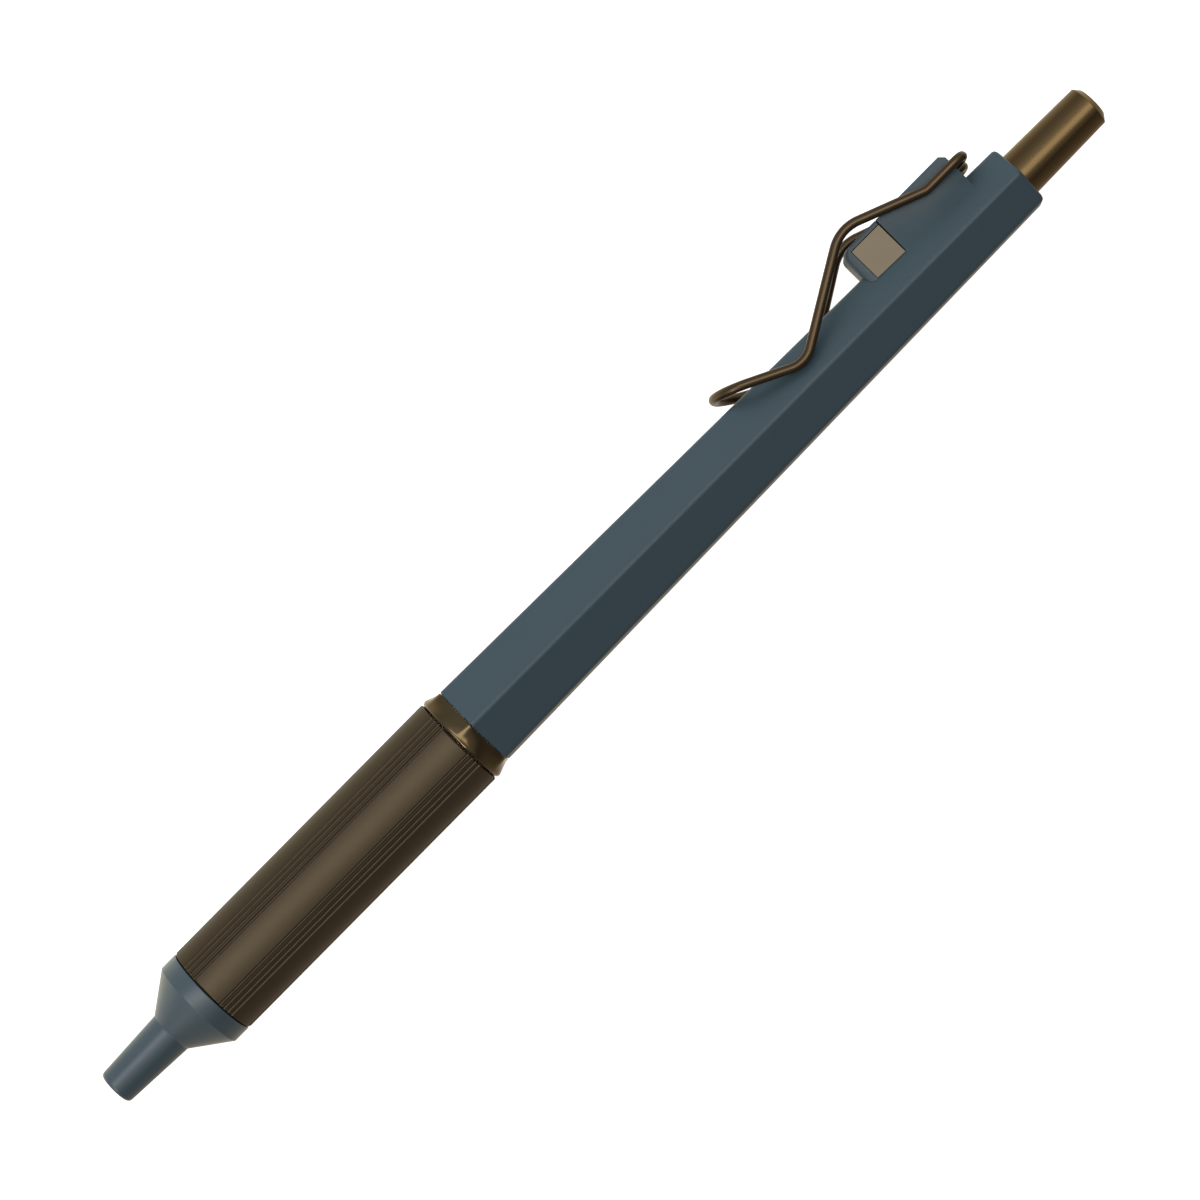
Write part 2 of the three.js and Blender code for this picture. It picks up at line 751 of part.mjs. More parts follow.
// One leg's corners in the side view, from the hole in the block to the free end.
// The upper leg has side 1, the lower one -1; the wire doesn't lean here yet.
function legCorners(side) {
  const contact = flatHeight(valleyStation) + wireRadius + wireOffBarrel;
  // the leaning wire touches its sloped flat on the lower side first
  const facing = Math.PI / 6 + leanAt(valleyStation);
  const legHeight = (contact - Math.cos(facing) * freeHalfSpread) / Math.sin(facing);
  const freeTurn = THREE.MathUtils.degToRad(freeEndSlope);
  const turn = freeTurn + Math.atan2(peakHeight - legHeight, riseLength);
  const valleyHeight = legHeight - valleyBend * (1 / Math.cos(turn / 2) - 1);
  const freeHeight = valleyHeight + freeEndLength * Math.tan(freeTurn);
  const hookStation = blockRear + hookReach;
  const at = (x, y, z, bend) => ({ point: new THREE.Vector3(x, y, side * z), bend });
  return [
    at(blockRear - wireInHole, wireLevel, hookHalfSpread, 0),
    at(hookStation, wireLevel, hookHalfSpread, hookBend),
    at(hookStation, wireLevel, legHalfSpread, hookBend),
    at(bendStation, wireLevel, legHalfSpread, rearBend),
    at(peakStation + side * peakSkew, peakHeight, legHalfSpread, peakBend),
    at(valleyStation, valleyHeight, freeHalfSpread, valleyBend),
    at(freeStation, freeHeight, freeHalfSpread, freeHalfSpread - runningGap),
  ];
}

// The wire leans about the middle of its holes at the rear and about the pen's axis at the barrel
function clipWire() {
  const corners = [...legCorners(1), ...legCorners(-1).reverse()];
  const path = subdivided(roundedPath(corners, wireBendStep), wireStraightStep);
  path.forEach((point) => {
    const share = THREE.MathUtils.smoothstep(point.x, valleyStation, peakStation);
    const pivot = new THREE.Vector3(0, wireLevel * share, 0);
    point.sub(pivot).applyAxisAngle(new THREE.Vector3(1, 0, 0), -leanAt(point.x)).add(pivot);
  });
  return wire(path, wireRadius, wireFacets);
}

// The button is a closed metal cap; its flange stops behind the lip of the barrel
function pushButton() {
  const bore = stemRadius + runningGap;
  const boreEnd = plungerEnd + stemLength + stopGap;
  return revolve([
    [buttonStart, bore],
    [buttonStart, buttonRootRadius],
    [flangeStart, buttonRootRadius],
    [flangeStart, buttonFlangeRadius],
    [flangeEnd, buttonFlangeRadius],
    [flangeEnd, buttonRootRadius],
    [barrelEnd, buttonRootRadius],
    [buttonEnd - buttonChamferLength, buttonEndRadius],
    [buttonEnd, buttonFaceRadius],
    [buttonEnd, 0],
    [boreEnd, 0],
    [boreEnd, bore],
  ], outerFacets);
}

// Height of the crown's saw teeth at an angle, between 0 and 1
function toothWave(angle, offset) {
  const phase = (angle * crownTeeth) / (2 * Math.PI) + offset;
  const within = phase - Math.floor(phase);
  return 1 - Math.abs(2 * within - 1);
}

// A tube whose rear or front end is cut to the crown's teeth
function toothedTube(toothed, plain, inner, outer, offset) {
  const facets = crownTeeth * facetsPerTooth;
  const angles = Array.from({ length: facets }, (_, i) => (2 * Math.PI * i) / facets);
  const ring = (station, radius) => angles.map((angle) => polar(station(angle), radius, angle));
  const teeth = (angle) => toothed + toothHeight * (toothWave(angle, offset) - 0.5);
  return loft([
    ring(() => plain, inner),
    ring(() => plain, outer),
    ring(teeth, outer),
    ring(teeth, inner),
  ], true);
}

// A sector of a ring, used for keys, fins and ribs
function sector(from, to, inner, outer, middle, width, slant) {
  const steps = Math.max(2, Math.round(width / sectorStep));
  const angles = Array.from({ length: steps + 1 }, (_, i) => {
    return THREE.MathUtils.degToRad(middle + width * (i / steps - 0.5));
  });
  const section = (angle, share) => [
    polar(from - slant * share, inner, angle),
    polar(from - slant * share, outer, angle),
    polar(to, outer, angle),
    polar(to, inner, angle),
  ];
  return solid(loft(angles.map((angle, i) => section(angle, i / steps)), false));
}

function keyAngles(shift) {
  return Array.from({ length: keyCount }, (_, i) => ((i + shift) * 360) / keyCount);
}

// The plunger: a crown of teeth, keys that ride between the guide's ribs, and the button's stem
function knockPlunger() {
  let body = solid(toothedTube(crownStation, plungerEnd, crownBore, crownRadius, 0));
  const keyStart = crownStation + plungerKeySetback;
  keyAngles(0).forEach((angle) => {
    const key = sector(keyStart, keyStart + plungerKeyLength, crownMiddle, keyRadius, angle, keyWidth, 0);
    body = body.add(key);
  });
  const stem = rod(plungerEnd - stemRoot, plungerEnd + stemLength, stemRadius, innerFacets);
  return geometryOf(body.add(stem));
}

// The rotor: its teeth mesh with the plunger's, and its fins lie between the ribs while retracted
function rotorCam() {
  const clearOfTeeth = rotorRear - 2 * toothShift * toothHeight;
  const core = toothedTube(clearOfTeeth, rotorFront, crownBore, crownRadius, toothShift);
  const wide = solid(toothedTube(clearOfTeeth, finStart, crownMiddle, keyRadius, toothShift));
  let body = solid(core);
  keyAngles(0).forEach((angle) => {
    const fin = sector(finStart, rotorRear + toothHeight, crownMiddle, keyRadius, angle, keyWidth, 0);
    body = body.add(wide.intersect(fin));
  });
  const plug = rod(rotorFront + socketDepth, rotorRear - toothHeight, crownMiddle, innerFacets);
  const pinRadius = crownBore - runningGap;
  const pin = rod(rotorRear - 2 * toothHeight, rotorRear + rotorPinLength, pinRadius, innerFacets);
  const socketBore = tubeRadius + runningGap;
  const socket = rod(rotorFront - cutPast, rotorFront + socketDepth, socketBore, innerFacets);
  return geometryOf(body.add(plug).add(pin).subtract(socket));
}

// The guide sleeve is pressed in the barrel; its ribs end in slanted faces that hold the fins out
function camGuide() {
  let body = solid(revolve([
    [guideStart, guideBore],
    [guideStart, guideCollarRadius],
    [guideStart + guideCollarLength, guideCollarRadius],
    [guideStart + guideCollarLength, guideRadius],
    [guideEnd, guideRadius],
    [guideEnd, guideBore],
  ], innerFacets));
  const ribRoot = (guideBore + guideRadius) / 2;
  keyAngles(0.5).forEach((angle) => {
    body = body.add(sector(ribStart, guideEnd, ribRadius, ribRoot, angle, ribWidth, ribSlant));
  });
  return geometryOf(body);
}

// The metal tip holds the ball in a turned-in lip
function refillTip() {
  const lip = tipStart + ballProud;
  const cupRadius = ballRadius + ballPlay;
  const cupEnd = tipStart + 2 * ballRadius + ballPlay;
  const coneEnd = tipStart + tipConeLength;
  return revolve([
    [lip, cupRadius],
    [lip, tipNoseRadius],
    [coneEnd, tipConeRadius],
    [tipBodyStart, tipRadius],
    [tipBodyEnd, tipRadius],
    [tipBodyEnd, tipSpigotRadius],
    [tipSpigotEnd, tipSpigotRadius],
    [tipSpigotEnd, tipInkBore],
    [tipBodyStart, tipInkBore],
    [coneEnd, tipInkwayRadius],
    [cupEnd + ballSeatLength, ballSeatRadius],
    [cupEnd, cupRadius],
  ], fineFacets);
}

// The moulded joint: a socket for the tip, the ball's chamber, the spring's seat and the tube's spigot
function refillJoint() {
  const socketRadius = tipSpigotRadius + runningGap;
  const chamberEnd = valveStart + valveChamberLength;
  const end = tubeStart + jointSpigotLength;
  return revolve([
    [jointStart, socketRadius],
    [jointStart, jointRadius],
    [seatStart, jointRadius],
    [seatStart, jointSeatRadius],
    [seatEnd, jointSeatRadius],
    [seatEnd, jointSpigotRadius],
    [end, jointSpigotRadius],
    [end, jointInkBore],
    [chamberEnd, jointInkBore],
    [chamberEnd - valveSeatLength, socketRadius],
  ], fineFacets);
}

function refillTube() {
  return revolve([
    [tubeStart, tubeBore],
    [tubeStart, tubeRadius],
    [tubeEnd, tubeRadius],
    [tubeEnd, tubeBore],
  ], fineFacets);
}

// What fills the tube's bore between two stations
function inTube(from, to) {
  return geometryOf(rod(from, to, tubeBore - runningGap, fineFacets));
}

function ball(station, radius) {
  const geometry = new THREE.SphereGeometry(radius, ballFacets, ballRings);
  geometry.translate(station, 0, 0);
  return geometryOf(solid(geometry));
}

// The spring's wire is one helix between the nozzle's shoulder and the refill's seat
function returnSpring() {
  const from = springSeat + springWireRadius + runningGap;
  const to = seatStart - springWireRadius - runningGap;
  const steps = springTurns * springSteps;
  const path = Array.from({ length: steps + 1 }, (_, i) => {
    return polar(from + ((to - from) * i) / steps, springRadius, (2 * Math.PI * i) / springSteps);
  });
  const pitch = (to - from) / springTurns;
  console.log(`spring: least gap between turns ${(pitch - 2 * springWireRadius).toFixed(2)} mm`);
  return wire(path, springWireRadius, springFacets);
}

add('nozzle', nozzle(), bluePaint);
add('grip_sleeve', gripSleeve(), bronze);
add('grip_liner', gripLiner(), whitePlastic);
add('coupling_ring', couplingRing(), glossBronze);
add('joint_collar', jointCollar(), whitePlastic);
add('barrel', barrel(), bluePlastic);
add('clip_block_nose', clipBlockNose(), bluePlastic);
add('nose_inlay', noseInlay(), warmGrey);
add('clip_wire', clipWire(), wireBronze);
add('push_button', pushButton(), bronze);
add('knock_plunger', knockPlunger(), whitePlastic);
add('rotor_cam', rotorCam(), whitePlastic);
add('cam_guide', camGuide(), whitePlastic);
add('return_spring', returnSpring(), steel);
add('refill_tip', refillTip(), steel);
add('writing_ball', ball(tipStart + ballRadius, ballRadius), ballCarbide);
add('refill_joint', refillJoint(), clearPlastic);
add('backflow_ball', ball(valveStart + stopGap + valveBallRadius, valveBallRadius), steel);
add('refill_tube', refillTube(), clearPlastic);
add('ink_column', inTube(inkStart, inkEnd), ink);
add('ink_follower', inTube(inkEnd + runningGap, inkEnd + followerLength), grease);

// The origin is under the middle of the pen as it lies, on the surface that it lies on
const bounds = new THREE.Box3().setFromObject(pen);
pen.position.set(
  -(bounds.min.x + bounds.max.x) / 2,
  -(bounds.min.y + bounds.max.y) / 2,
  -bounds.min.z,
);
pen.updateMatrixWorld(true);

const assembly = new THREE.Group();
assembly.add(pen);

export default assembly;
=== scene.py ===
# %% [markdown]
# # A retractable ballpoint pen
# The pen lies on its side on a pale table: a painted cone, a grooved metal grip, a glossy ring, a long
# hexagonal barrel, a bent wire clip on its block and a bronze push button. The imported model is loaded
# first and stays as it is. Around it, each piece that shows gets a fine surface of its own, worked out
# with numpy from the same sizes, and a finish made from shader nodes.

# %% Load the frame
import json
import math

import bpy
import numpy as np
from mathutils import Matrix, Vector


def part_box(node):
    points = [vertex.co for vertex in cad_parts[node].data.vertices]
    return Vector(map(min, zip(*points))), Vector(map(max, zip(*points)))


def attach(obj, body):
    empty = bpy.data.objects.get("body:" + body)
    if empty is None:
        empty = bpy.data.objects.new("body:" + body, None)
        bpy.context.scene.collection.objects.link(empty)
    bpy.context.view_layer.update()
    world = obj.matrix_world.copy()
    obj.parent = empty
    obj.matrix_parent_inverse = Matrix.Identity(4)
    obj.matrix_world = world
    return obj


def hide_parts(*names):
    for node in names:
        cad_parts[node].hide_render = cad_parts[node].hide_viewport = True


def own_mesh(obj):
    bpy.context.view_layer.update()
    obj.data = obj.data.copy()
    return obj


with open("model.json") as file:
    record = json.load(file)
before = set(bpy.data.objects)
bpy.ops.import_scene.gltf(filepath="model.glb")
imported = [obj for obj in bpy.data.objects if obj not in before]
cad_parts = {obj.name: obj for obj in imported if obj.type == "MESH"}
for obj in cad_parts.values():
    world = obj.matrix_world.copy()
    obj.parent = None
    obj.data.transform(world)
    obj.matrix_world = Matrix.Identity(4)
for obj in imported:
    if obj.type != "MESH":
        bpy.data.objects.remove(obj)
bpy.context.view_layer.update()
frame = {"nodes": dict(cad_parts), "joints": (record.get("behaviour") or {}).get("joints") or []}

# %% [markdown]
# Two kinds of place are used. The frame is in metres. The sizes below are in millimetres, as a pen
# maker writes them: the station along the pen, counted from the nozzle's mouth, then Y towards the clip
# and Z up, both counted from the pen's axis. The nozzle is round, so the middle of its box is the axis.

# %% Pen coordinates
MM = 0.001
nozzle_low, nozzle_high = (np.array(corner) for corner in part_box("nozzle"))
PEN_START = np.array([nozzle_low[0], *((nozzle_low + nozzle_high) / 2)[1:]])


def in_frame(points):
    """Pen coordinates in millimetres, turned into metres in the frame."""
    return np.asarray(points, float) * MM + PEN_START


def span(node):
    """A node's first and last station, and its largest distance from the axis along Y and Z."""
    low, high = ((np.array(corner) - PEN_START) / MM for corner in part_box(node))
    reach = np.maximum(np.abs(low), np.abs(high))
    return low[0], high[0], reach[1], reach[2]


PEN_LENGTH = span("push_button")[1]
print("pen length", round(PEN_LENGTH, 2), "mm")

# %% [markdown]
# The photograph is taken with a long lens from almost straight above, leaning a little to the side away
# from the clip, and the pen runs up to the right in it. The camera's three axes are worked out from that
# lean and the pen's slope, and the lens from the distance and from how many millimetres a pixel covers.

# %% Camera
PHOTO_SIZE = 1200
PHOTO_MIDDLE = (603.5, 595.6)
MM_PER_PIXEL = 0.103
CAMERA_DISTANCE = 450
SENSOR_WIDTH = 36
pen_slope = math.radians(45.28)
eye_lean = math.radians(3.4)

along = np.array([1, 0, 0])
across = np.array([0, math.cos(eye_lean), math.sin(eye_lean)])
back = np.array([0, -math.sin(eye_lean), math.cos(eye_lean)])
right = math.cos(pen_slope) * along - math.sin(pen_slope) * across
upward = math.sin(pen_slope) * along + math.cos(pen_slope) * across
pen_middle = in_frame([PEN_LENGTH / 2, 0, 0])
off_right = (PHOTO_MIDDLE[0] - PHOTO_SIZE / 2) * MM_PER_PIXEL * MM
off_up = (PHOTO_SIZE / 2 - PHOTO_MIDDLE[1]) * MM_PER_PIXEL * MM
eye = pen_middle + back * CAMERA_DISTANCE * MM - right * off_right - upward * off_up


def placed(x_axis, y_axis, z_axis, place):
    """An object's matrix: its three axes and its place are the four columns."""
    rows = zip([*x_axis, 0], [*y_axis, 0], [*z_axis, 0], [*place, 1])
    return Matrix([[*row] for row in rows])


camera_data = bpy.data.cameras.new("camera")
camera_data.sensor_width = SENSOR_WIDTH
camera_data.lens = SENSOR_WIDTH * CAMERA_DISTANCE / (PHOTO_SIZE * MM_PER_PIXEL)
camera_data.clip_start = 0.01
camera = bpy.data.objects.new("camera", camera_data)
bpy.context.scene.collection.objects.link(camera)
camera.matrix_world = placed(right, upward, back, eye)
bpy.context.scene.camera = camera
print("lens", round(camera_data.lens, 1), "mm")

# %% [markdown]
# The light is that of a photographer's table. What the pen mirrors of the room depends almost only on
# the angle round its axis: a pale ceiling, dimmer walls, the dimmest on the side away from the clip, and
# a white floor below that lies in the pen's own shadow on that side. So the world's brightness is a ramp
# over that angle, from straight down on the side away from the clip, past straight up at 0 degrees,
# round to straight down again.

# %% World
# Degrees from straight up towards the clip's side, then red, green and blue.
STUDIO = [
    (-180, 0.8, 0.72, 0.58),
    (-150, 0.5, 0.43, 0.35),
    (-112, 0.34, 0.3, 0.27),
    (-82, 0.22, 0.195, 0.17),
    (-57, 0.11, 0.105, 0.11),
    (-36, 0.32, 0.31, 0.31),
    (-12, 0.6, 0.59, 0.57),
    (4, 0.84, 0.82, 0.8),
    (22, 0.65, 0.66, 0.69),
    (47, 0.4, 0.41, 0.46),
    (75, 0.34, 0.35, 0.37),
    (110, 0.76, 0.71, 0.64),
    (150, 0.95, 0.92, 0.72),
    (180, 0.8, 0.72, 0.58),
]
BRIGHTEST = 2.0
world = bpy.data.worlds.new("studio")
world.use_nodes = True
bpy.context.scene.world = world
world_nodes, world_links = world.node_tree.nodes, world.node_tree.links
direction = world_nodes.new("ShaderNodeTexCoord")
parts = world_nodes.new("ShaderNodeSeparateXYZ")
angle = world_nodes.new("ShaderNodeMath")
angle.operation = "ARCTAN2"
share = world_nodes.new("ShaderNodeMapRange")
share.inputs["From Min"].default_value = -math.pi
share.inputs["From Max"].default_value = math.pi
ramp = world_nodes.new("ShaderNodeValToRGB")
ramp.color_ramp.interpolation = "EASE"
stops = ramp.color_ramp.elements
for degrees, *_ in STUDIO[1:-1]:
    stops.new((degrees + 180) / 360)
for stop, (_, *colour) in zip(stops, STUDIO):
    stop.color = (*(part / BRIGHTEST for part in colour), 1)
sky = world_nodes["Background"]
sky.inputs["Strength"].default_value = BRIGHTEST
world_links.new(direction.outputs["Generated"], parts.inputs[0])
world_links.new(parts.outputs["Y"], angle.inputs[0])
world_links.new(parts.outputs["Z"], angle.inputs[1])
world_links.new(angle.outputs[0], share.inputs["Value"])
world_links.new(share.outputs["Result"], ramp.inputs[0])
world_links.new(ramp.outputs["Color"], sky.inputs["Color"])

# %% [markdown]
# The key light is a long soft box overhead. It lies level in the picture, so it crosses the pen at 45
# degrees, and the line of light that it draws wanders from the clip's side at the nozzle to the other
# side at the button. A wall on the clip's side brightens one of the barrel's upper faces, but is hung so
# that the metals don't mirror it. Beyond the nozzle a small lamp gives them their glints, and a box
# lights the cone. A panel is aimed by a direction, and its strength is the brightness that a mirror
# would show.


# %% Lamps
def panel(name, toward, distance, width, height, brightness, colour=(1, 1, 1), lie=along):
    """A flat light that faces the pen's middle, its width along the direction in which it lies.

    Lengths are in metres. Its power is its brightness times pi times its area.
    """
    away = np.asarray(toward, float) / np.linalg.norm(toward)
    side = lie - away * (lie @ away)
    side /= np.linalg.norm(side)
    data = bpy.data.lights.new(name, "AREA")
    data.shape = "RECTANGLE"
    data.size = width
    data.size_y = height
    data.energy = brightness * math.pi * width * height
    data.color = colour
    light = bpy.data.objects.new(name, data)
    bpy.context.scene.collection.objects.link(light)
    light.matrix_world = placed(side, np.cross(away, side), away, pen_middle + away * distance)
    return light


panel("soft_box", (0, 0.08, 1), distance=1.2, width=1.5, height=0.42, brightness=1.45, lie=right)
wall = panel("clip_side_wall", (0, 1, 0.27), distance=1.2, width=1.6, height=0.9, brightness=1.9)
wall.visible_glossy = False
panel(
    "nozzle_lamp", (-1, -0.25, 0.55), distance=1.0, width=0.12, height=0.12, brightness=14,
    colour=(1, 0.93, 0.85),
)
panel("nozzle_side_box", (-0.8, 0.1, 0.72), distance=1.2, width=0.3, height=0.5, brightness=1.8)
bpy.context.scene.view_settings.view_transform = "Standard"

# %% [markdown]
# A finish is one Principled shader with the nodes that feed it. Most of what a satin surface needs is
# arithmetic on noise, so a small class wraps a socket and turns Python's operators into Math nodes.
# Colours are blended by a Mix node, and every other node comes from one method.


# %% Finishes as expressions
class Value:
    """Something that varies over the surface: one output socket of a finish's node tree."""

    def __init__(self, finish, socket):
        self.finish = finish
        self.socket = socket

    def _maths(self, operation, first, second):
        return self.finish.node("ShaderNodeMath", {"operation": operation}, {0: first, 1: second})

    def __add__(self, other):
        return self._maths("ADD", self, other)

    def __sub__(self, other):
        return self._maths("SUBTRACT", self, other)

    def __rsub__(self, other):
        return self._maths("SUBTRACT", other, self)

    def __mul__(self, other):
        return self._maths("MULTIPLY", self, other)

    __radd__ = __add__
    __rmul__ = __mul__


class Finish:
    """A procedural material. Constants go straight on the shader's own sockets."""

    def __init__(self, name, **constants):
        self.material = bpy.data.materials.new(name)
        self.material.use_nodes = True
        self.tree = self.material.node_tree
        self.shader = self.tree.nodes["Principled BSDF"]
        for socket, value in constants.items():
            self.shader.inputs[socket.replace("_", " ")].default_value = value

    def node(self, kind, settings=None, inputs=None, output=0):
        """Adds a node: its settings first, then the value or link of each input."""
        made = self.tree.nodes.new(kind)
        for setting, value in (settings or {}).items():
            setattr(made, setting, value)
        for socket, value in (inputs or {}).items():
            self.feed(made.inputs[socket], value)
        return Value(self, made.outputs[output])

    def feed(self, socket, value):
        if isinstance(value, Value):
            self.tree.links.new(value.socket, socket)
        else:
            socket.default_value = value

    def place(self, scale):
        """Object coordinates in millimetres, stretched by a scale along X, Y and Z."""
        point = self.node("ShaderNodeTexCoord", output="Object")
        stretch = [s / MM for s in scale]
        return self.node("ShaderNodeMapping", inputs={"Vector": point, "Scale": stretch})

    def noise(self, scale, detail=2.0, roughness=0.5):
        """Noise from 0 to 1 whose grain is 1 / scale millimetres along each axis."""
        steps = {"Vector": self.place(scale), "Scale": 1.0, "Detail": detail, "Roughness": roughness}
        return self.node("ShaderNodeTexNoise", inputs=steps)

    def blend(self, share, first, second):
        """The first colour where the share is 0, the second where it is 1."""
        settings = {"data_type": "RGBA"}
        return self.node("ShaderNodeMix", settings, {0: share, 6: (*first, 1), 7: (*second, 1)}, output=2)

    def colour(self, value):
        self.feed(self.shader.inputs["Base Color"], value)

    def roughness(self, value):
        self.feed(self.shader.inputs["Roughness"], value)

    def relief(self, height, depth):
        """A bump whose highest point stands the given depth, in millimetres, above its lowest."""
        bump = self.node("ShaderNodeBump", inputs={"Height": height, "Distance": depth * MM})
        self.feed(self.shader.inputs["Normal"], bump)


# %% [markdown]
# The barrel is moulded in a spark-eroded tool, so its blue-grey plastic has a fine, even grain. The
# nozzle is metal painted the same colour: paint levels out, so its grain is softer, and a clear lacquer
# over it makes its sheen stronger. Both vary slightly in tone over some millimetres, as pigment does.


# %% Blue-grey plastic and paint
def blue_finish(name, dark, light, sheen, spread, grain, depth, lacquer=0.0):
    """Pigment cloud for the colour, roughness that follows the grain, and the grain as relief."""
    finish = Finish(name, Metallic=0.0, IOR=1.55, Coat_Weight=lacquer, Coat_Roughness=0.28)
    cloud = finish.noise((0.25, 0.35, 0.35), detail=3)
    speck = finish.noise((grain, grain, grain), detail=3, roughness=0.6)
    finish.colour(finish.blend(cloud * 0.7 + speck * 0.3, dark, light))
    finish.roughness(sheen + spread * (speck - 0.5))
    finish.relief(speck, depth)
    return finish.material


blue_plastic = blue_finish(
    "blue_plastic", (0.035, 0.064, 0.08), (0.04, 0.073, 0.088),
    sheen=0.43, spread=0.16, grain=9, depth=0.006,
)
blue_paint = blue_finish(
    "blue_paint", (0.038, 0.068, 0.083), (0.042, 0.074, 0.09),
    sheen=0.37, spread=0.08, grain=5, depth=0.003, lacquer=0.7,
)

# %% [markdown]
# The metal pieces are coloured by a thin bronze-brown plating. The grip and the button are turned on a
# lathe and blasted, so very fine lines run round them under the blasted grain. The ring is polished.
# The wire is drawn through a die, which leaves lines along it. The plate is brushed across the pen. Each
# kind of work is written as the number of marks in a millimetre along X, Y and Z.


# %% Bronze metals
TURNED = (12, 0.3, 0.3)
DRAWN = (0.3, 9, 9)
BRUSHED = (9, 0.3, 9)
BLASTED = (8, 8, 8)
LAPPED = (40, 40, 40)


def metal_finish(name, dark, light, sheen, spread, lines, depth):
    """Tool lines, much finer along one axis than across it, with blasted grain between them."""
    finish = Finish(name, Metallic=1.0)
    line = finish.noise(lines, detail=2)
    speck = finish.noise(BLASTED, detail=2)
    tone = finish.noise((0.12, 0.5, 0.5), detail=2)
    finish.colour(finish.blend(tone * 0.5 + line * 0.3 + speck * 0.2, dark, light))
    finish.roughness(sheen + spread * (line * 0.5 + speck * 0.5 - 0.5))
    finish.relief(line * 0.5 + speck * 0.5, depth)
    return finish.material


grip_bronze = metal_finish(
    "grip_bronze", (0.102, 0.078, 0.049), (0.126, 0.097, 0.061),
    sheen=0.48, spread=0.1, lines=TURNED, depth=0.002,
)
button_bronze = metal_finish(
    "button_bronze", (0.15, 0.1, 0.043), (0.185, 0.124, 0.056),
    sheen=0.26, spread=0.1, lines=TURNED, depth=0.0015,
)
ring_bronze = metal_finish(
    "ring_bronze", (0.15, 0.108, 0.054), (0.172, 0.126, 0.064),
    sheen=0.16, spread=0.05, lines=TURNED, depth=0.0004,
)
wire_bronze = metal_finish(
    "wire_bronze", (0.11, 0.075, 0.042), (0.14, 0.098, 0.058),
    sheen=0.3, spread=0.1, lines=DRAWN, depth=0.001,
)
plate_metal = metal_finish(
    "plate_metal", (0.172, 0.144, 0.101), (0.213, 0.179, 0.125),
    sheen=0.42, spread=0.12, lines=BRUSHED, depth=0.0015,
)
spring_metal = metal_finish(
    "spring_metal", (0.5, 0.5, 0.5), (0.6, 0.6, 0.6),
    sheen=0.28, spread=0.1, lines=DRAWN, depth=0.001,
)
tip_metal = metal_finish(
    "tip_metal", (0.52, 0.52, 0.53), (0.6, 0.6, 0.61),
    sheen=0.2, spread=0.08, lines=TURNED, depth=0.001,
)
ball_metal = metal_finish(
    "ball_metal", (0.4, 0.41, 0.43), (0.46, 0.47, 0.49),
    sheen=0.12, spread=0.05, lines=LAPPED, depth=0.0002,
)

# %% [markdown]
# The pieces inside are plain mouldings and the refill. They show only at the nozzle's mouth, and to
# whoever takes the pen apart, so their finishes are simple: a milky plastic, a clear one with a little
# haze, the ink and the grease that follows it.


# %% Inner plastics, ink and grease
def moulded_finish(name, dark, light, sheen, clear=0.0):
    """Flow marks a few millimetres long for the colour, and a fine grain for roughness and relief."""
    finish = Finish(name, Metallic=0.0, Transmission_Weight=clear)
    flow = finish.noise((0.15, 0.6, 0.6), detail=3)
    speck = finish.noise((6, 6, 6), detail=2)
    finish.colour(finish.blend(flow, dark, light))
    finish.roughness(sheen + 0.1 * (speck - 0.5))
    finish.relief(speck, 0.002)
    return finish.material


white_plastic = moulded_finish("white_plastic", (0.66, 0.65, 0.61), (0.74, 0.73, 0.7), sheen=0.45)
clear_plastic = moulded_finish("clear_plastic", (0.8, 0.83, 0.84), (0.88, 0.9, 0.9), sheen=0.15, clear=0.85)
ink = moulded_finish("ink", (0.004, 0.004, 0.008), (0.008, 0.008, 0.014), sheen=0.15)
grease = moulded_finish("grease", (0.62, 0.56, 0.36), (0.7, 0.64, 0.43), sheen=0.1, clear=0.5)

# %% [markdown]
# Every piece starts as a grid of points: rings round the pen, one after the other. Neighbouring rings
# are joined by quads. Where the section closes on itself, as round a tube's wall, the last ring joins
# the first; otherwise both ends get a fan round their centre. A solid whose volume comes out negative
# has its faces turned round, so that they always point outwards.


# %% From a grid of points to a piece
def skin(grid, closed_section):
    """Vertices and faces of a grid with the shape (rings, points round, 3)."""
    rings, around = grid.shape[:2]
    number = np.arange(rings * around).reshape(rings, around)
    here = number if closed_section else number[:-1]
    beyond = np.roll(number, -1, axis=0) if closed_section else number[1:]
    corners = [here, np.roll(here, -1, axis=1), np.roll(beyond, -1, axis=1), beyond]
    faces = np.stack(corners, axis=-1).reshape(-1, 4)
    points = grid.reshape(-1, 3)
    fans = np.empty((0, 3), int)
    if not closed_section:
        points = np.vstack([points, grid[0].mean(axis=0), grid[-1].mean(axis=0)])
        first_hub = np.full(around, rings * around)
        front = np.stack([np.roll(number[0], -1), number[0], first_hub], axis=-1)
        rear = np.stack([number[-1], np.roll(number[-1], -1), first_hub + 1], axis=-1)
        fans = np.vstack([front, rear])
    triangles = np.vstack([faces[:, :3], faces[:, [0, 2, 3]], fans])
    a, b, c = (points[triangles[:, i]] for i in range(3))
    if np.einsum("ij,ij->", a, np.cross(b, c)) < 0:
        faces, fans = faces[:, ::-1], fans[:, ::-1]
    return points, [*faces.tolist(), *fans.tolist()]


def raw_piece(name, grid, closed_section=False):
    """A mesh object whose points are still in pen millimetres, which is also what booleans work best in."""
    points, faces = skin(np.asarray(grid, float), closed_section)
    mesh = bpy.data.meshes.new(name)
    mesh.from_pydata(points.tolist(), [], faces)
    piece = bpy.data.objects.new(name, mesh)
    bpy.context.scene.collection.objects.link(piece)
    return piece


SHARP_ANGLE = math.radians(38)


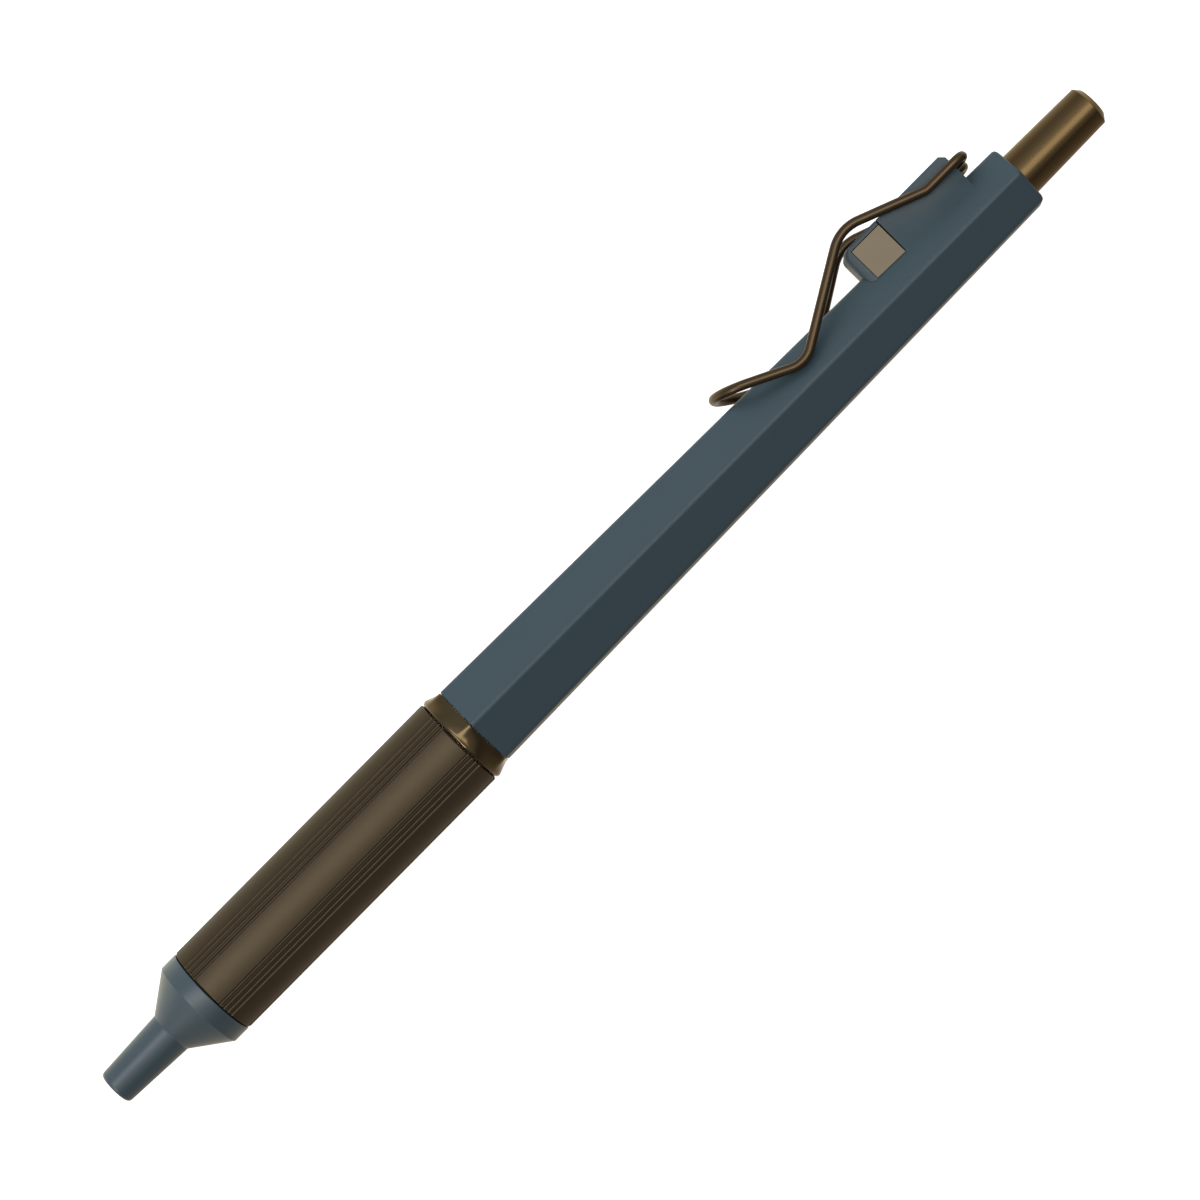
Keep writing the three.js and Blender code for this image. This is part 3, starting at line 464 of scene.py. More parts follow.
def finished(piece, material, slot, body, *nodes):
    """Takes a piece into the frame, with smooth shading, its finish, its body and the nodes it replaces."""
    mesh = piece.data
    mesh.transform(Matrix.Translation(PEN_START) @ Matrix.Scale(MM, 4))
    mesh.materials.clear()
    mesh.materials.append(material)
    mesh.polygons.foreach_set("use_smooth", np.ones(len(mesh.polygons), bool))
    mesh.set_sharp_from_angle(angle=SHARP_ANGLE)
    flats = piece.modifiers.new("flats", "WEIGHTED_NORMAL")
    flats.keep_sharp = True
    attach(piece, body)
    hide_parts(*nodes)
    print(piece.name, len(mesh.polygons), "faces")


# %% [markdown]
# Turned pieces come from a section: a few corners, each with its station, its radius and how much it is
# rounded. No machined edge is perfectly sharp, and the small roundings are what catches the light. Each
# corner is replaced by an arc that touches both of its sides.


# %% Sections and turned pieces
ARC_STEPS = 6
FACETS = 144
INNER_FACETS = 96
LEAST_ROUNDING = 0.01
AT_AXIS = 0.02


def unit(vectors):
    return vectors / np.linalg.norm(vectors, axis=-1, keepdims=True)


def arcs_at(here, behind, ahead, rounding, steps):
    """An arc for each corner, from its place, the directions to its neighbours and its rounding.

    The arc's centre lies on the corner's bisector, at rounding / sin(half the opening). Its points
    swing from one tangent point to the other, weighted by sines so that they are evenly spaced.
    """
    half = np.arccos(np.clip((behind * ahead).sum(axis=1, keepdims=True), -1, 1)) / 2
    centre = here + unit(behind + ahead) * rounding / np.sin(half)
    start = here + behind * rounding / np.tan(half) - centre
    end = here + ahead * rounding / np.tan(half) - centre
    sweep = np.pi - 2 * half
    share = np.linspace(0, 1, steps + 1)
    first = np.sin((1 - share) * sweep) / np.sin(sweep)
    last = np.sin(share * sweep) / np.sin(sweep)
    return centre[:, None] + first[..., None] * start[:, None] + last[..., None] * end[:, None]


def eased(corners, closed=True):
    """Rounds the corners of a section, given as rows of (station, radius, rounding)."""
    corners = np.asarray(corners, float)
    here, rounding = corners[:, :2], corners[:, 2:]
    behind = unit(np.roll(here, 1, axis=0) - here)
    ahead = unit(np.roll(here, -1, axis=0) - here)
    arcs = arcs_at(here, behind, ahead, rounding, ARC_STEPS)
    if closed:
        return arcs.reshape(-1, 2)
    return np.vstack([here[:1], arcs[1:-1].reshape(-1, 2), here[-1:]])


def shrunk(corners, inset):
    """A convex outline with every side moved inwards, and its roundings reduced by as much."""
    corners = np.asarray(corners, float)
    here = corners[:, :2]
    behind = unit(np.roll(here, 1, axis=0) - here)
    ahead = unit(np.roll(here, -1, axis=0) - here)
    half = np.arccos((behind * ahead).sum(axis=1, keepdims=True)) / 2
    moved = here + unit(behind + ahead) * inset / np.sin(half)
    return np.hstack([moved, np.maximum(corners[:, 2:] - inset, LEAST_ROUNDING)])


def round_axis(station, radius, angle):
    """Points at a station, round the axis: Y = radius sin(angle), Z = radius cos(angle)."""
    return np.stack([station + 0 * angle, radius * np.sin(angle), radius * np.cos(angle)], axis=-1)


def revolved(section, facets=FACETS):
    """Rings: each point of the section goes round the axis."""
    angle = np.linspace(0, 2 * np.pi, facets, endpoint=False)
    return round_axis(section[:, :1], section[:, 1:], angle)


def turned(name, corners, material, slot, body, node, facets=INNER_FACETS):
    """A whole turned piece, from the corners of its section. Pieces inside need fewer facets."""
    piece = raw_piece(name, revolved(eased(corners), facets), closed_section=True)
    finished(piece, material, slot, body, node)


# %% [markdown]
# The nozzle is one turned piece: a slim tube with a rounded mouth, a cone of about 36 degrees to the
# axis and a short band as wide as the grip. Behind the band a threaded spigot goes into the grip, and
# inside are the bore for the refill's tip and the wider chamber whose shoulder carries the spring.

# %% Nozzle
NOZZLE_TUBE_END = 8.23
CONE_END = 12.29
TIP_RADIUS = 2.015
TUBE_RADIUS = 2.42
MOUTH_RADIUS = 1.25
MOUTH_LENGTH = 3.0
NOZZLE_BORE = 1.5
SPRING_SEAT = 11.05
CHAMBER_RADIUS = 2.6
SPIGOT_RADIUS = 4.45
LEAD_IN_LENGTH = 1.0
LEAD_IN_DEPTH = 0.6
MOUTH_TAPER = 0.25
SEAM = 0.1
FINE_EDGE = 0.05
SEAM_EDGE = 0.14

_, spigot_end, nozzle_radius, _ = span("nozzle")
grip_start, grip_end, grip_radius, _ = span("grip_sleeve")
nozzle_end = grip_start - SEAM
turned("painted_nozzle", [
    (0, MOUTH_RADIUS, 0.1),
    (0, TIP_RADIUS, 0.5),
    (NOZZLE_TUBE_END, TUBE_RADIUS, 0.15),
    (CONE_END, nozzle_radius, 0.1),
    (nozzle_end, nozzle_radius, SEAM_EDGE),
    (nozzle_end, SPIGOT_RADIUS, FINE_EDGE),
    (spigot_end, SPIGOT_RADIUS, 0.2),
    (spigot_end, CHAMBER_RADIUS + LEAD_IN_DEPTH, FINE_EDGE),
    (spigot_end - LEAD_IN_LENGTH, CHAMBER_RADIUS, FINE_EDGE),
    (SPRING_SEAT, CHAMBER_RADIUS, FINE_EDGE),
    (SPRING_SEAT, NOZZLE_BORE, FINE_EDGE),
    (MOUTH_LENGTH + MOUTH_TAPER, NOZZLE_BORE, FINE_EDGE),
    (MOUTH_LENGTH, MOUTH_RADIUS, FINE_EDGE),
], blue_paint, "blue_paint", "pen_body", "nozzle", facets=FACETS)

# %% [markdown]
# The grip is a metal sleeve with six groups of four fine grooves, one group over each flat of the
# barrel behind it. The grooves could be a bump in the material, but they are 0.16 mm deep and run out
# through the rounded ends, so they are real: the surface keeps to whichever is lower, the turned
# outline or the bottom of the groove. Points round the sleeve crowd together where the grooves are.

# %% Grooved grip
GROOVE_GROUPS = 6
GROOVES_IN_GROUP = 4
GROOVE_PITCH = 0.6
GROOVE_WIDTH = 0.34
GROOVE_DEPTH = 0.16
GROOVE_FULLNESS = 0.75
GRIP_BORE = 4.5
GRIP_EDGE = 0.25
GROOVE_STEPS = 10
PLAIN_STEPS = 14

pitch_angle = GROOVE_PITCH / grip_radius
groove_angle = GROOVE_WIDTH / grip_radius
group_angle = 2 * np.pi / GROOVE_GROUPS
groove_middles = (np.arange(GROOVES_IN_GROUP) - (GROOVES_IN_GROUP - 1) / 2) * pitch_angle
in_groove = np.linspace(-0.5, 0.5, GROOVE_STEPS + 1) * groove_angle
groove_points = (groove_middles[:, None] + in_groove).ravel()
group_edge = groove_points[-1]
plain_points = np.linspace(group_edge, group_angle - group_edge, PLAIN_STEPS + 1)[1:-1]
one_group = np.concatenate([groove_points, plain_points])
groups = (np.arange(GROOVE_GROUPS) + 0.5) * group_angle
grip_angles = (groups[:, None] + one_group).ravel()

to_middle = np.abs(one_group[:, None] - groove_middles).min(axis=1)
hollow = np.clip(1 - (2 * to_middle / groove_angle) ** 2, 0, 1) ** GROOVE_FULLNESS
groove_bottom = grip_radius - GROOVE_DEPTH * np.tile(hollow, GROOVE_GROUPS)

grip_section = eased([
    (grip_start, GRIP_BORE, FINE_EDGE),
    (grip_start, grip_radius, GRIP_EDGE),
    (grip_end, grip_radius, GRIP_EDGE),
    (grip_end, GRIP_BORE, FINE_EDGE),
])
grip_reach = np.minimum(grip_section[:, 1:], groove_bottom)
grip_grid = round_axis(grip_section[:, :1], grip_reach, grip_angles)
grip = raw_piece("grooved_grip", grip_grid, closed_section=True)
finished(grip, grip_bronze, "satin_bronze", "pen_body", "grip_sleeve")

# %% [markdown]
# The barrel's section is a hexagon with rounded edges, one of them on top. Each edge is an arc whose
# centre lies (height - radius) / cos 30 degrees from the axis, where height is the distance from axis
# to flat. The height shrinks evenly towards the button. The same hexagon, seen as a radius at each
# angle, is what the coupling ring has to meet.

# %% Hexagon
BARREL_EDGE = 0.7
EDGE_STEPS = 10
FRONT_HEIGHT = 4.78
REAR_HEIGHT = 3.625
barrel_start, barrel_end, _, _ = span("barrel")


def flat_height(station):
    """Distance from axis to flat at a station of the tapered barrel."""
    share = (station - barrel_start) / (barrel_end - barrel_start)
    return FRONT_HEIGHT + (REAR_HEIGHT - FRONT_HEIGHT) * share


def hexagon(stations, heights):
    """Rings of a hexagon with rounded edges: each edge turns by 60 degrees round its own centre."""
    stations, heights = (np.asarray(values, float)[:, None] for values in (stations, heights))
    corner = np.arange(6)[:, None] * np.pi / 3
    turn = np.linspace(-np.pi / 6, np.pi / 6, EDGE_STEPS + 1)
    facing = (corner + turn).ravel()
    corner = np.repeat(corner.ravel(), EDGE_STEPS + 1)
    centre = (heights - BARREL_EDGE) / math.cos(np.pi / 6)
    y = centre * np.sin(corner) + BARREL_EDGE * np.sin(facing)
    z = centre * np.cos(corner) + BARREL_EDGE * np.cos(facing)
    return np.stack([stations + 0 * y, y, z], axis=-1)


# %% [markdown]
# The coupling ring is round where it meets the grip and hexagonal where it meets the barrel. Its front
# edge is a quarter of an ellipse. Behind the crest the share of the hexagon grows evenly, so that the
# surface runs straight from the circle to the hexagon.

# %% Coupling ring
RING_CREST = 0.45
RING_DROP = 0.3
RING_BORE = 3.95
RING_COUNTERBORE = 4.45
COUNTERBORE_LENGTH = 1.1
RING_ROUND_STEPS = 8
RING_TAPER_STEPS = 12
FLAT_POINTS = 5

ring_start, ring_end, _, ring_radius = span("coupling_ring")
edge_points = hexagon([0], [FRONT_HEIGHT])[0, :, 1:]
edge_angles = np.unwrap(np.arctan2(edge_points[:, 0], edge_points[:, 1])).reshape(6, -1)
next_edge = np.roll(edge_angles[:, 0], -1) + np.array([0, 0, 0, 0, 0, 2 * np.pi])
flat_share = np.linspace(0, 1, FLAT_POINTS + 2)[1:-1]
flat_angles = edge_angles[:, -1:] + (next_edge - edge_angles[:, -1])[:, None] * flat_share
ring_angles = np.hstack([edge_angles, flat_angles]).ravel()
edge_reach = np.hypot(*edge_points.T).reshape(6, -1)
flat_facing = (np.arange(6)[:, None] + 0.5) * np.pi / 3
flat_reach = FRONT_HEIGHT / np.cos(flat_angles - flat_facing)
hexagon_reach = np.hstack([edge_reach, flat_reach]).ravel()

quarter = np.linspace(0, np.pi / 2, RING_ROUND_STEPS + 1)
rounding = np.stack([
    ring_start + RING_CREST * (1 - np.cos(quarter)),
    ring_radius - RING_DROP * (1 - np.sin(quarter)),
    0 * quarter,
], axis=-1)
taper_share = np.linspace(0, 1, RING_TAPER_STEPS + 1)[1:]
taper = np.stack([
    ring_start + RING_CREST + (ring_end - FINE_EDGE - ring_start - RING_CREST) * taper_share,
    0 * taper_share + ring_radius,
    taper_share,
], axis=-1)
counterbore_end = ring_start + COUNTERBORE_LENGTH
rear_face = [(ring_end, ring_radius - FINE_EDGE, 1), (ring_end, RING_BORE, 0)]
step_in_bore = [(counterbore_end, RING_BORE, 0), (counterbore_end, RING_COUNTERBORE, 0)]
front_face = [(ring_start, RING_COUNTERBORE, 0)]
ring_rows = np.vstack([rounding, taper, rear_face, step_in_bore, front_face])
station, plain_reach, share = (ring_rows[:, i:i + 1] for i in range(3))
ring_reach = plain_reach + share * (hexagon_reach - ring_radius)
ring_grid = round_axis(station, ring_reach, ring_angles)
ring = raw_piece("polished_ring", ring_grid, closed_section=True)
finished(ring, ring_bronze, "gloss_bronze", "pen_body", "coupling_ring")

# %% [markdown]
# The barrel and the rear half of the clip block are one moulding. The outline of the block is a slab
# with chamfered top and softened edges. It is joined to the hexagon, and then the bore, the two holes
# for the wire's ends and the slot for the nose's tongue are cut, in the order that a modeller would
# cut them. Booleans leave long faces, so the normals are weighted by area afterwards.


# %% Joining and cutting
def combined(piece, tool, operation):
    """Joins the tool to the piece (UNION) or cuts it away (DIFFERENCE), and deletes the tool."""
    step = piece.modifiers.new("step", "BOOLEAN")
    step.operation = operation
    step.solver = "MANIFOLD"
    step.object = tool
    graph = bpy.context.evaluated_depsgraph_get()
    result = bpy.data.meshes.new_from_object(piece.evaluated_get(graph))
    result.name = piece.name
    piece.modifiers.clear()
    piece.data = result
    bpy.data.objects.remove(tool)


def slab(name, outline, half_width, edge):
    """An outline of (station, Y, rounding) corners, extruded to both sides of the middle plane.

    The side edges are quarter rounds: at a turn t the outline is drawn in by edge (1 - sin t), while
    its plane lies edge (1 - cos t) inside the flat side.
    """
    turn = np.linspace(0, np.pi / 2, ARC_STEPS)
    inset = edge * (1 - np.sin(turn))
    depth = half_width - edge * (1 - np.cos(turn))
    rings = np.stack([eased(shrunk(outline, drawn)) for drawn in (*inset, *inset[::-1])])
    planes = np.append(-depth, depth[::-1])[:, None, None]
    grid = np.concatenate([rings, planes + 0 * rings[..., :1]], axis=-1)
    return raw_piece(name, grid)


# %% Barrel with the rear half of the clip block
BARREL_FRONT_EDGE = 0.06
BARREL_REAR_EDGE = 0.5
BLOCK_FRONT = 118.41
BLOCK_REAR = 128.05
BLOCK_HEIGHT = 7.12
BLOCK_HALF_WIDTH = 3.0
BLOCK_FOOT = 1.9
BLOCK_EDGE = 0.18
BLOCK_CHAMFER = 0.55
COLLAR_HOLE_END = 60.75
COLLAR_HOLE_RADIUS = 3.95
MAIN_BORE = 3.4
MECHANISM_START = 103.3
MECHANISM_BORE = 3.05
LIP_START = 131.0
BUTTON_HOLE = 2.63
BUTTON_HOLE_CHAMFER = 0.12
WIRE_LEVEL = 5.18
HOOK_HALF_SPREAD = 1.65
WIRE_HOLE_RADIUS = 0.92
WIRE_IN_HOLE = 3.0
HOLE_FACETS = 48
TONGUE_LENGTH = 3.0
TONGUE_ROOT = 0.5
TONGUE_SIZE = (1.6, 2.4)
TONGUE_LEVEL = 5.5
PLAY = 0.05
STOP_GAP = 0.1
PAST = 1.0

rear_turn = np.linspace(0, np.pi / 2, ARC_STEPS + 1)
hull_stations = np.concatenate([
    [barrel_start, barrel_start + BARREL_FRONT_EDGE],
    barrel_end - BARREL_REAR_EDGE * (1 - np.sin(rear_turn)),
])
hull_drops = np.concatenate([[BARREL_FRONT_EDGE, 0], BARREL_REAR_EDGE * (1 - np.cos(rear_turn))])
hull_heights = flat_height(hull_stations) - hull_drops
barrel = raw_piece("hexagonal_barrel", hexagon(hull_stations, hull_heights))
block_outline = [
    (BLOCK_FRONT, BLOCK_FOOT, 0.1),
    (BLOCK_REAR, BLOCK_FOOT, 0.1),
    (BLOCK_REAR, BLOCK_HEIGHT - BLOCK_CHAMFER, 0.12),
    (BLOCK_REAR - BLOCK_CHAMFER, BLOCK_HEIGHT, 0.12),
    (BLOCK_FRONT, BLOCK_HEIGHT, 0.06),
]
combined(barrel, slab("block", block_outline, BLOCK_HALF_WIDTH, BLOCK_EDGE), "UNION")
bore_section = np.array([
    (barrel_start - PAST, COLLAR_HOLE_RADIUS),
    (COLLAR_HOLE_END, COLLAR_HOLE_RADIUS),
    (COLLAR_HOLE_END, MAIN_BORE),
    (MECHANISM_START, MAIN_BORE),
    (MECHANISM_START, MECHANISM_BORE),
    (LIP_START, MECHANISM_BORE),
    (LIP_START, BUTTON_HOLE),
    (barrel_end - BUTTON_HOLE_CHAMFER, BUTTON_HOLE),
    (barrel_end + PAST, BUTTON_HOLE + PAST + BUTTON_HOLE_CHAMFER),
])
combined(barrel, raw_piece("bore", revolved(bore_section)), "DIFFERENCE")
hole_start = BLOCK_REAR - WIRE_IN_HOLE - STOP_GAP
hole_section = np.array([(hole_start, WIRE_HOLE_RADIUS), (BLOCK_REAR + PAST, WIRE_HOLE_RADIUS)])
for side in (-1, 1):
    hole = revolved(hole_section, HOLE_FACETS) + np.array([0, WIRE_LEVEL, side * HOOK_HALF_SPREAD])
    combined(barrel, raw_piece("wire_hole", hole), "DIFFERENCE")


def oblong(start, end, low, high, edge):
    """The four corners of a plain outline, all rounded alike."""
    return [(start, low, edge), (end, low, edge), (end, high, edge), (start, high, edge)]


def tongue(name, start, end, play):
    """The nose's square tongue, or the slot for it when it has play."""
    half_height, half_width = (size / 2 + play for size in TONGUE_SIZE)
    low, high = TONGUE_LEVEL - half_height, TONGUE_LEVEL + half_height
    return slab(name, oblong(start, end, low, high, FINE_EDGE), half_width, FINE_EDGE)


nose_rear = BLOCK_FRONT - SEAM
slot = tongue("tongue_slot", BLOCK_FRONT - PAST, nose_rear + TONGUE_LENGTH + STOP_GAP, PLAY)
combined(barrel, slot, "DIFFERENCE")
finished(barrel, blue_plastic, "blue_plastic", "pen_body", "barrel")

# %% [markdown]
# The front half of the block, its nose, is a moulding of its own that sits astride the barrel and
# reaches into the rear half with a tongue. Seen from above its front corners are round, and seen from
# the side its top rolls down at the front. Each level of it is a rounded rectangle. The roll moves the
# front back by a quarter circle, and a small rounding draws the sides in at the top.

# %% Nose of the clip block
NOSE_FRONT = 113.28
NOSE_CORNER = 0.85
NOSE_ROLL = 0.9
NOSE_REAR_EDGE = 0.06
NOSE_TOP_EDGE = 0.18
NOSE_LEVELS = 14
CORNER_STEPS = 10

levels = BLOCK_HEIGHT - NOSE_ROLL * (1 - np.sin(np.linspace(0, np.pi / 2, NOSE_LEVELS)))
levels = np.concatenate([[BLOCK_FOOT], levels])[:, None]


def drawn_in(level, radius):
    """How far a quarter round at the top has moved inwards at a level."""
    over = np.clip((level - (BLOCK_HEIGHT - radius)) / radius, 0, 1)
    return radius * (1 - np.sqrt(1 - over ** 2))


nose_front = NOSE_FRONT + drawn_in(levels, NOSE_ROLL)
nose_half = BLOCK_HALF_WIDTH - drawn_in(levels, NOSE_TOP_EDGE)
quarter = np.linspace(0, np.pi / 2, CORNER_STEPS + 1)
front_x = nose_front + NOSE_CORNER * (1 - np.cos(quarter))
front_z = nose_half - NOSE_CORNER * (1 - np.sin(quarter))
rear_x = nose_rear - NOSE_REAR_EDGE * (1 - np.sin(quarter))
rear_z = nose_half - NOSE_REAR_EDGE * (1 - np.cos(quarter))
nose_x = np.hstack([front_x, rear_x + 0 * nose_half])
nose_z = np.hstack([front_z, rear_z])
nose_x = np.hstack([nose_x, nose_x[:, ::-1]])
nose_z = np.hstack([nose_z, -nose_z[:, ::-1]])
nose_grid = np.stack([nose_x, levels + 0 * nose_x, nose_z], axis=-1)
nose = raw_piece("block_nose", nose_grid)


def saddle(play):
    """The barrel under the nose, with play, as a cutter."""
    stations = np.array([NOSE_FRONT - PAST, nose_rear + PAST])
    return raw_piece("saddle", hexagon(stations, flat_height(stations) + play))


combined(nose, saddle(PLAY), "DIFFERENCE")
combined(nose, tongue("tongue", nose_rear - TONGUE_ROOT, nose_rear + TONGUE_LENGTH, 0), "UNION")

# %% [markdown]
# A square metal plate is let into the nose on the upper side only, flush with it. The recess is cut a
# hair larger than the plate, which leaves the fine dark line round it.

# %% Plate in the nose
PLATE_LENGTH = 3.95
PLATE_FOOT = 2.5
PLATE_TOP = 6.57
PLATE_THICKNESS = 0.5
PLATE_EDGE = 0.05


def plate_slab(name, play, edge):
    """The plate between its two faces, or the recess for it when it has play."""
    start = nose_rear - PLATE_LENGTH - play
    end = nose_rear + play
    low, high = PLATE_FOOT - play, PLATE_TOP + play
    thickness = PLATE_THICKNESS + 2 * play
    piece = slab(name, oblong(start, end, low, high, edge), thickness / 2, edge)
    lift = BLOCK_HALF_WIDTH + play - thickness / 2
    piece.data.transform(Matrix.Translation((0, 0, lift)))
    return piece


combined(nose, plate_slab("recess", PLAY, FINE_EDGE / 2), "DIFFERENCE")
finished(nose, blue_plastic, "blue_plastic", "pen_body", "clip_block_nose")
plate = plate_slab("metal_plate", 0, PLATE_EDGE)
combined(plate, saddle(2 * PLAY), "DIFFERENCE")
finished(plate, plate_metal, "warm_grey_metal", "pen_body", "nose_inlay")

# %% [markdown]
# The clip is one wire, 1.05 mm thick. Each end goes into a hole in the block, comes out, hooks round and
# runs forward along the block. Both legs then rise over the nose, drop to the barrel, touch it, and rise
# again to the U that joins them. The path is a list of corners with a bend radius each. A tube round it
# needs a sideways direction at every point: the wire never runs along Y, so the cross product of its
# tangent with Y always gives one.


# %% Paths and tubes
BEND_STEPS = 24
END_STEPS = 4
END_BULGE = 0.5
LEAST_END = 0.02


def bent_path(corners, bends, step):
    """Straight runs between corners, with an arc at each inner one, at even steps along the line."""
    corners, bends = np.asarray(corners, float), np.asarray(bends, float)[:, None]
    here = corners[1:-1]
    arcs = arcs_at(here, unit(corners[:-2] - here), unit(corners[2:] - here), bends, BEND_STEPS)
    line = np.vstack([corners[:1], arcs.reshape(-1, 3), corners[-1:]])
    travelled = np.append(0, np.cumsum(np.linalg.norm(np.diff(line, axis=0), axis=1)))
    even = np.linspace(0, travelled[-1], int(travelled[-1] / step) + 1)
    return np.stack([np.interp(even, travelled, line[:, i]) for i in range(3)], axis=-1)


def tube(name, path, radius, sides, steady):
    """Rings round a path. The steady direction is one that the path never follows.

    Each end is drawn in as a quarter of an ellipse, by rings that shrink while they move outwards.
    """
    tangent = unit(np.gradient(path, axis=0))
    turn = np.linspace(0, np.pi / 2, END_STEPS + 1)[1:]
    bulge = radius * END_BULGE
    head = path[0] - tangent[0] * bulge * np.sin(turn[::-1, None])
    tail = path[-1] + tangent[-1] * bulge * np.sin(turn[:, None])
    shrink = np.maximum(np.cos(turn), LEAST_END)
    reach = radius * np.concatenate([shrink[::-1], np.ones(len(path)), shrink])
    at_head, at_tail = (np.tile(end, (END_STEPS, 1)) for end in (tangent[0], tangent[-1]))
    tangent = np.vstack([at_head, tangent, at_tail])
    line = np.vstack([head, path, tail])
    sideways = unit(np.cross(tangent, steady))
    over = np.cross(sideways, tangent)
    angle = np.linspace(0, 2 * np.pi, sides, endpoint=False)[None, :, None]
    spokes = sideways[:, None] * np.cos(angle) + over[:, None] * np.sin(angle)
    return raw_piece(name, line[:, None] + spokes * reach[:, None, None])


# %% Clip wire
WIRE_RADIUS = 0.523
HOOK_REACH = 1.28
LEG_HALF_SPREAD = 3.85
FREE_HALF_SPREAD = 4.3
REAR_BEND_SETBACK = 3.88
DESCENT = 9.32
PEAK_HEIGHT = 8.75
PEAK_SKEW = 0.3
RISE = 11.93
FREE_END = 9.15
FREE_SLOPE = math.radians(26.8)
CLIP_LEAN = math.radians(4.6)
FREE_LEAN = math.radians(3)
HOOK_BEND = 1.09
REAR_BEND = 1.6
PEAK_BEND = 4.2
VALLEY_BEND = 3.0
WIRE_OFF_BARREL = 0.05
WIRE_STEP = 0.25
WIRE_SIDES = 28

bend_station = BLOCK_REAR - REAR_BEND_SETBACK
peak_station = bend_station - DESCENT
valley_station = peak_station - RISE
free_station = valley_station - FREE_END
hook_station = BLOCK_REAR + HOOK_REACH


def smooth_share(stations, start, end):
    """0 before the start, 1 after the end, and 3 s squared - 2 s cubed between them."""
    share = np.clip((stations - start) / (end - start), 0, 1)
    return share ** 2 * (3 - 2 * share)


def lean_at(stations):
    """The wire's lean grows from the free end to the peak."""
    return FREE_LEAN + (CLIP_LEAN - FREE_LEAN) * smooth_share(stations, free_station, peak_station)


contact = flat_height(valley_station) + WIRE_RADIUS + WIRE_OFF_BARREL
tilt = math.pi / 6 + lean_at(valley_station)
leg_height = (contact - math.cos(tilt) * FREE_HALF_SPREAD) / math.sin(tilt)
valley_turn = FREE_SLOPE + math.atan2(PEAK_HEIGHT - leg_height, RISE)
valley_height = leg_height - VALLEY_BEND * (1 / math.cos(valley_turn / 2) - 1)
free_height = valley_height + FREE_END * math.tan(FREE_SLOPE)


def leg_corners(side):
    """One leg from its hole to the free end. The upper leg has side 1; it bends further to the rear."""
    corners = np.array([
        (BLOCK_REAR - WIRE_IN_HOLE, WIRE_LEVEL, HOOK_HALF_SPREAD),
        (hook_station, WIRE_LEVEL, HOOK_HALF_SPREAD),
        (hook_station, WIRE_LEVEL, LEG_HALF_SPREAD),
        (bend_station, WIRE_LEVEL, LEG_HALF_SPREAD),
        (peak_station + side * PEAK_SKEW, PEAK_HEIGHT, LEG_HALF_SPREAD),
        (valley_station, valley_height, FREE_HALF_SPREAD),
        (free_station, free_height, FREE_HALF_SPREAD),
    ])
    return corners * np.array([1, 1, side])


leg_bends = np.array([HOOK_BEND, HOOK_BEND, REAR_BEND, PEAK_BEND, VALLEY_BEND, FREE_HALF_SPREAD - PLAY])
both_legs = np.vstack([leg_corners(1), leg_corners(-1)[::-1]])
clip_path = bent_path(both_legs, np.append(leg_bends, leg_bends[::-1]), WIRE_STEP)

# %% [markdown]
# In the photograph the clip leans a little, so that its upper leg stands out further. At the rear the
# wire is turned about the middle of its two holes, and at the valley about the pen's axis, with a
# smooth change between them. Towards the free end some of the lean is lost.

# %% Lean of the clip
pivot = WIRE_LEVEL * smooth_share(clip_path[:, 0], valley_station, peak_station)
lean = lean_at(clip_path[:, 0])
above = clip_path[:, 1] - pivot
clip_y = pivot + above * np.cos(lean) + clip_path[:, 2] * np.sin(lean)
clip_z = clip_path[:, 2] * np.cos(lean) - above * np.sin(lean)
leaning_path = np.stack([clip_path[:, 0], clip_y, clip_z], axis=-1)
clip = tube("bent_clip", leaning_path, WIRE_RADIUS, WIRE_SIDES, steady=(0, 1, 0))
finished(clip, wire_bronze, "bronze_wire", "clip", "clip_wire")

# %% [markdown]
# The push button is a turned cap. Its visible part narrows by a hair towards the end, which has a wide
# chamfer, and a flange behind the barrel's lip keeps it from falling out. Inside it is bored for the
# plunger's stem.

# %% Push button
BUTTON_START = 127.9
FLANGE_START = 129.7
FLANGE_END = 130.9
FLANGE_RADIUS = 2.95
BUTTON_ROOT = 2.58
BUTTON_TIP = 2.42
BUTTON_CHAMFER = 0.55
BUTTON_FACE = 1.75
STEM_RADIUS = 1.65
STEM_END = 136.5

button_section = eased([
    (PEN_LENGTH, AT_AXIS, LEAST_ROUNDING),
    (PEN_LENGTH, BUTTON_FACE, 0.08),
    (PEN_LENGTH - BUTTON_CHAMFER, BUTTON_TIP, 0.12),
    (barrel_end, BUTTON_ROOT, 0.5),
    (FLANGE_END, BUTTON_ROOT, FINE_EDGE),
    (FLANGE_END, FLANGE_RADIUS, FINE_EDGE),
    (FLANGE_START, FLANGE_RADIUS, FINE_EDGE),
    (FLANGE_START, BUTTON_ROOT, FINE_EDGE),
    (BUTTON_START, BUTTON_ROOT, FINE_EDGE),
    (BUTTON_START, STEM_RADIUS + PLAY, FINE_EDGE),
    (STEM_END + STOP_GAP, STEM_RADIUS + PLAY, FINE_EDGE),
    (STEM_END + STOP_GAP, AT_AXIS, LEAST_ROUNDING),
], closed=False)
button = raw_piece("turned_button", revolved(button_section))
finished(button, button_bronze, "satin_bronze", "knock", "push_button")

# %% [markdown]
# The refill is seen only from the front, where its metal tip waits behind the nozzle's mouth, but it is
# made whole. The tip is turned to a long point, with the ink's way through it, and its lip is rolled
# over the writing ball. A stud at its rear is pressed into the joint.

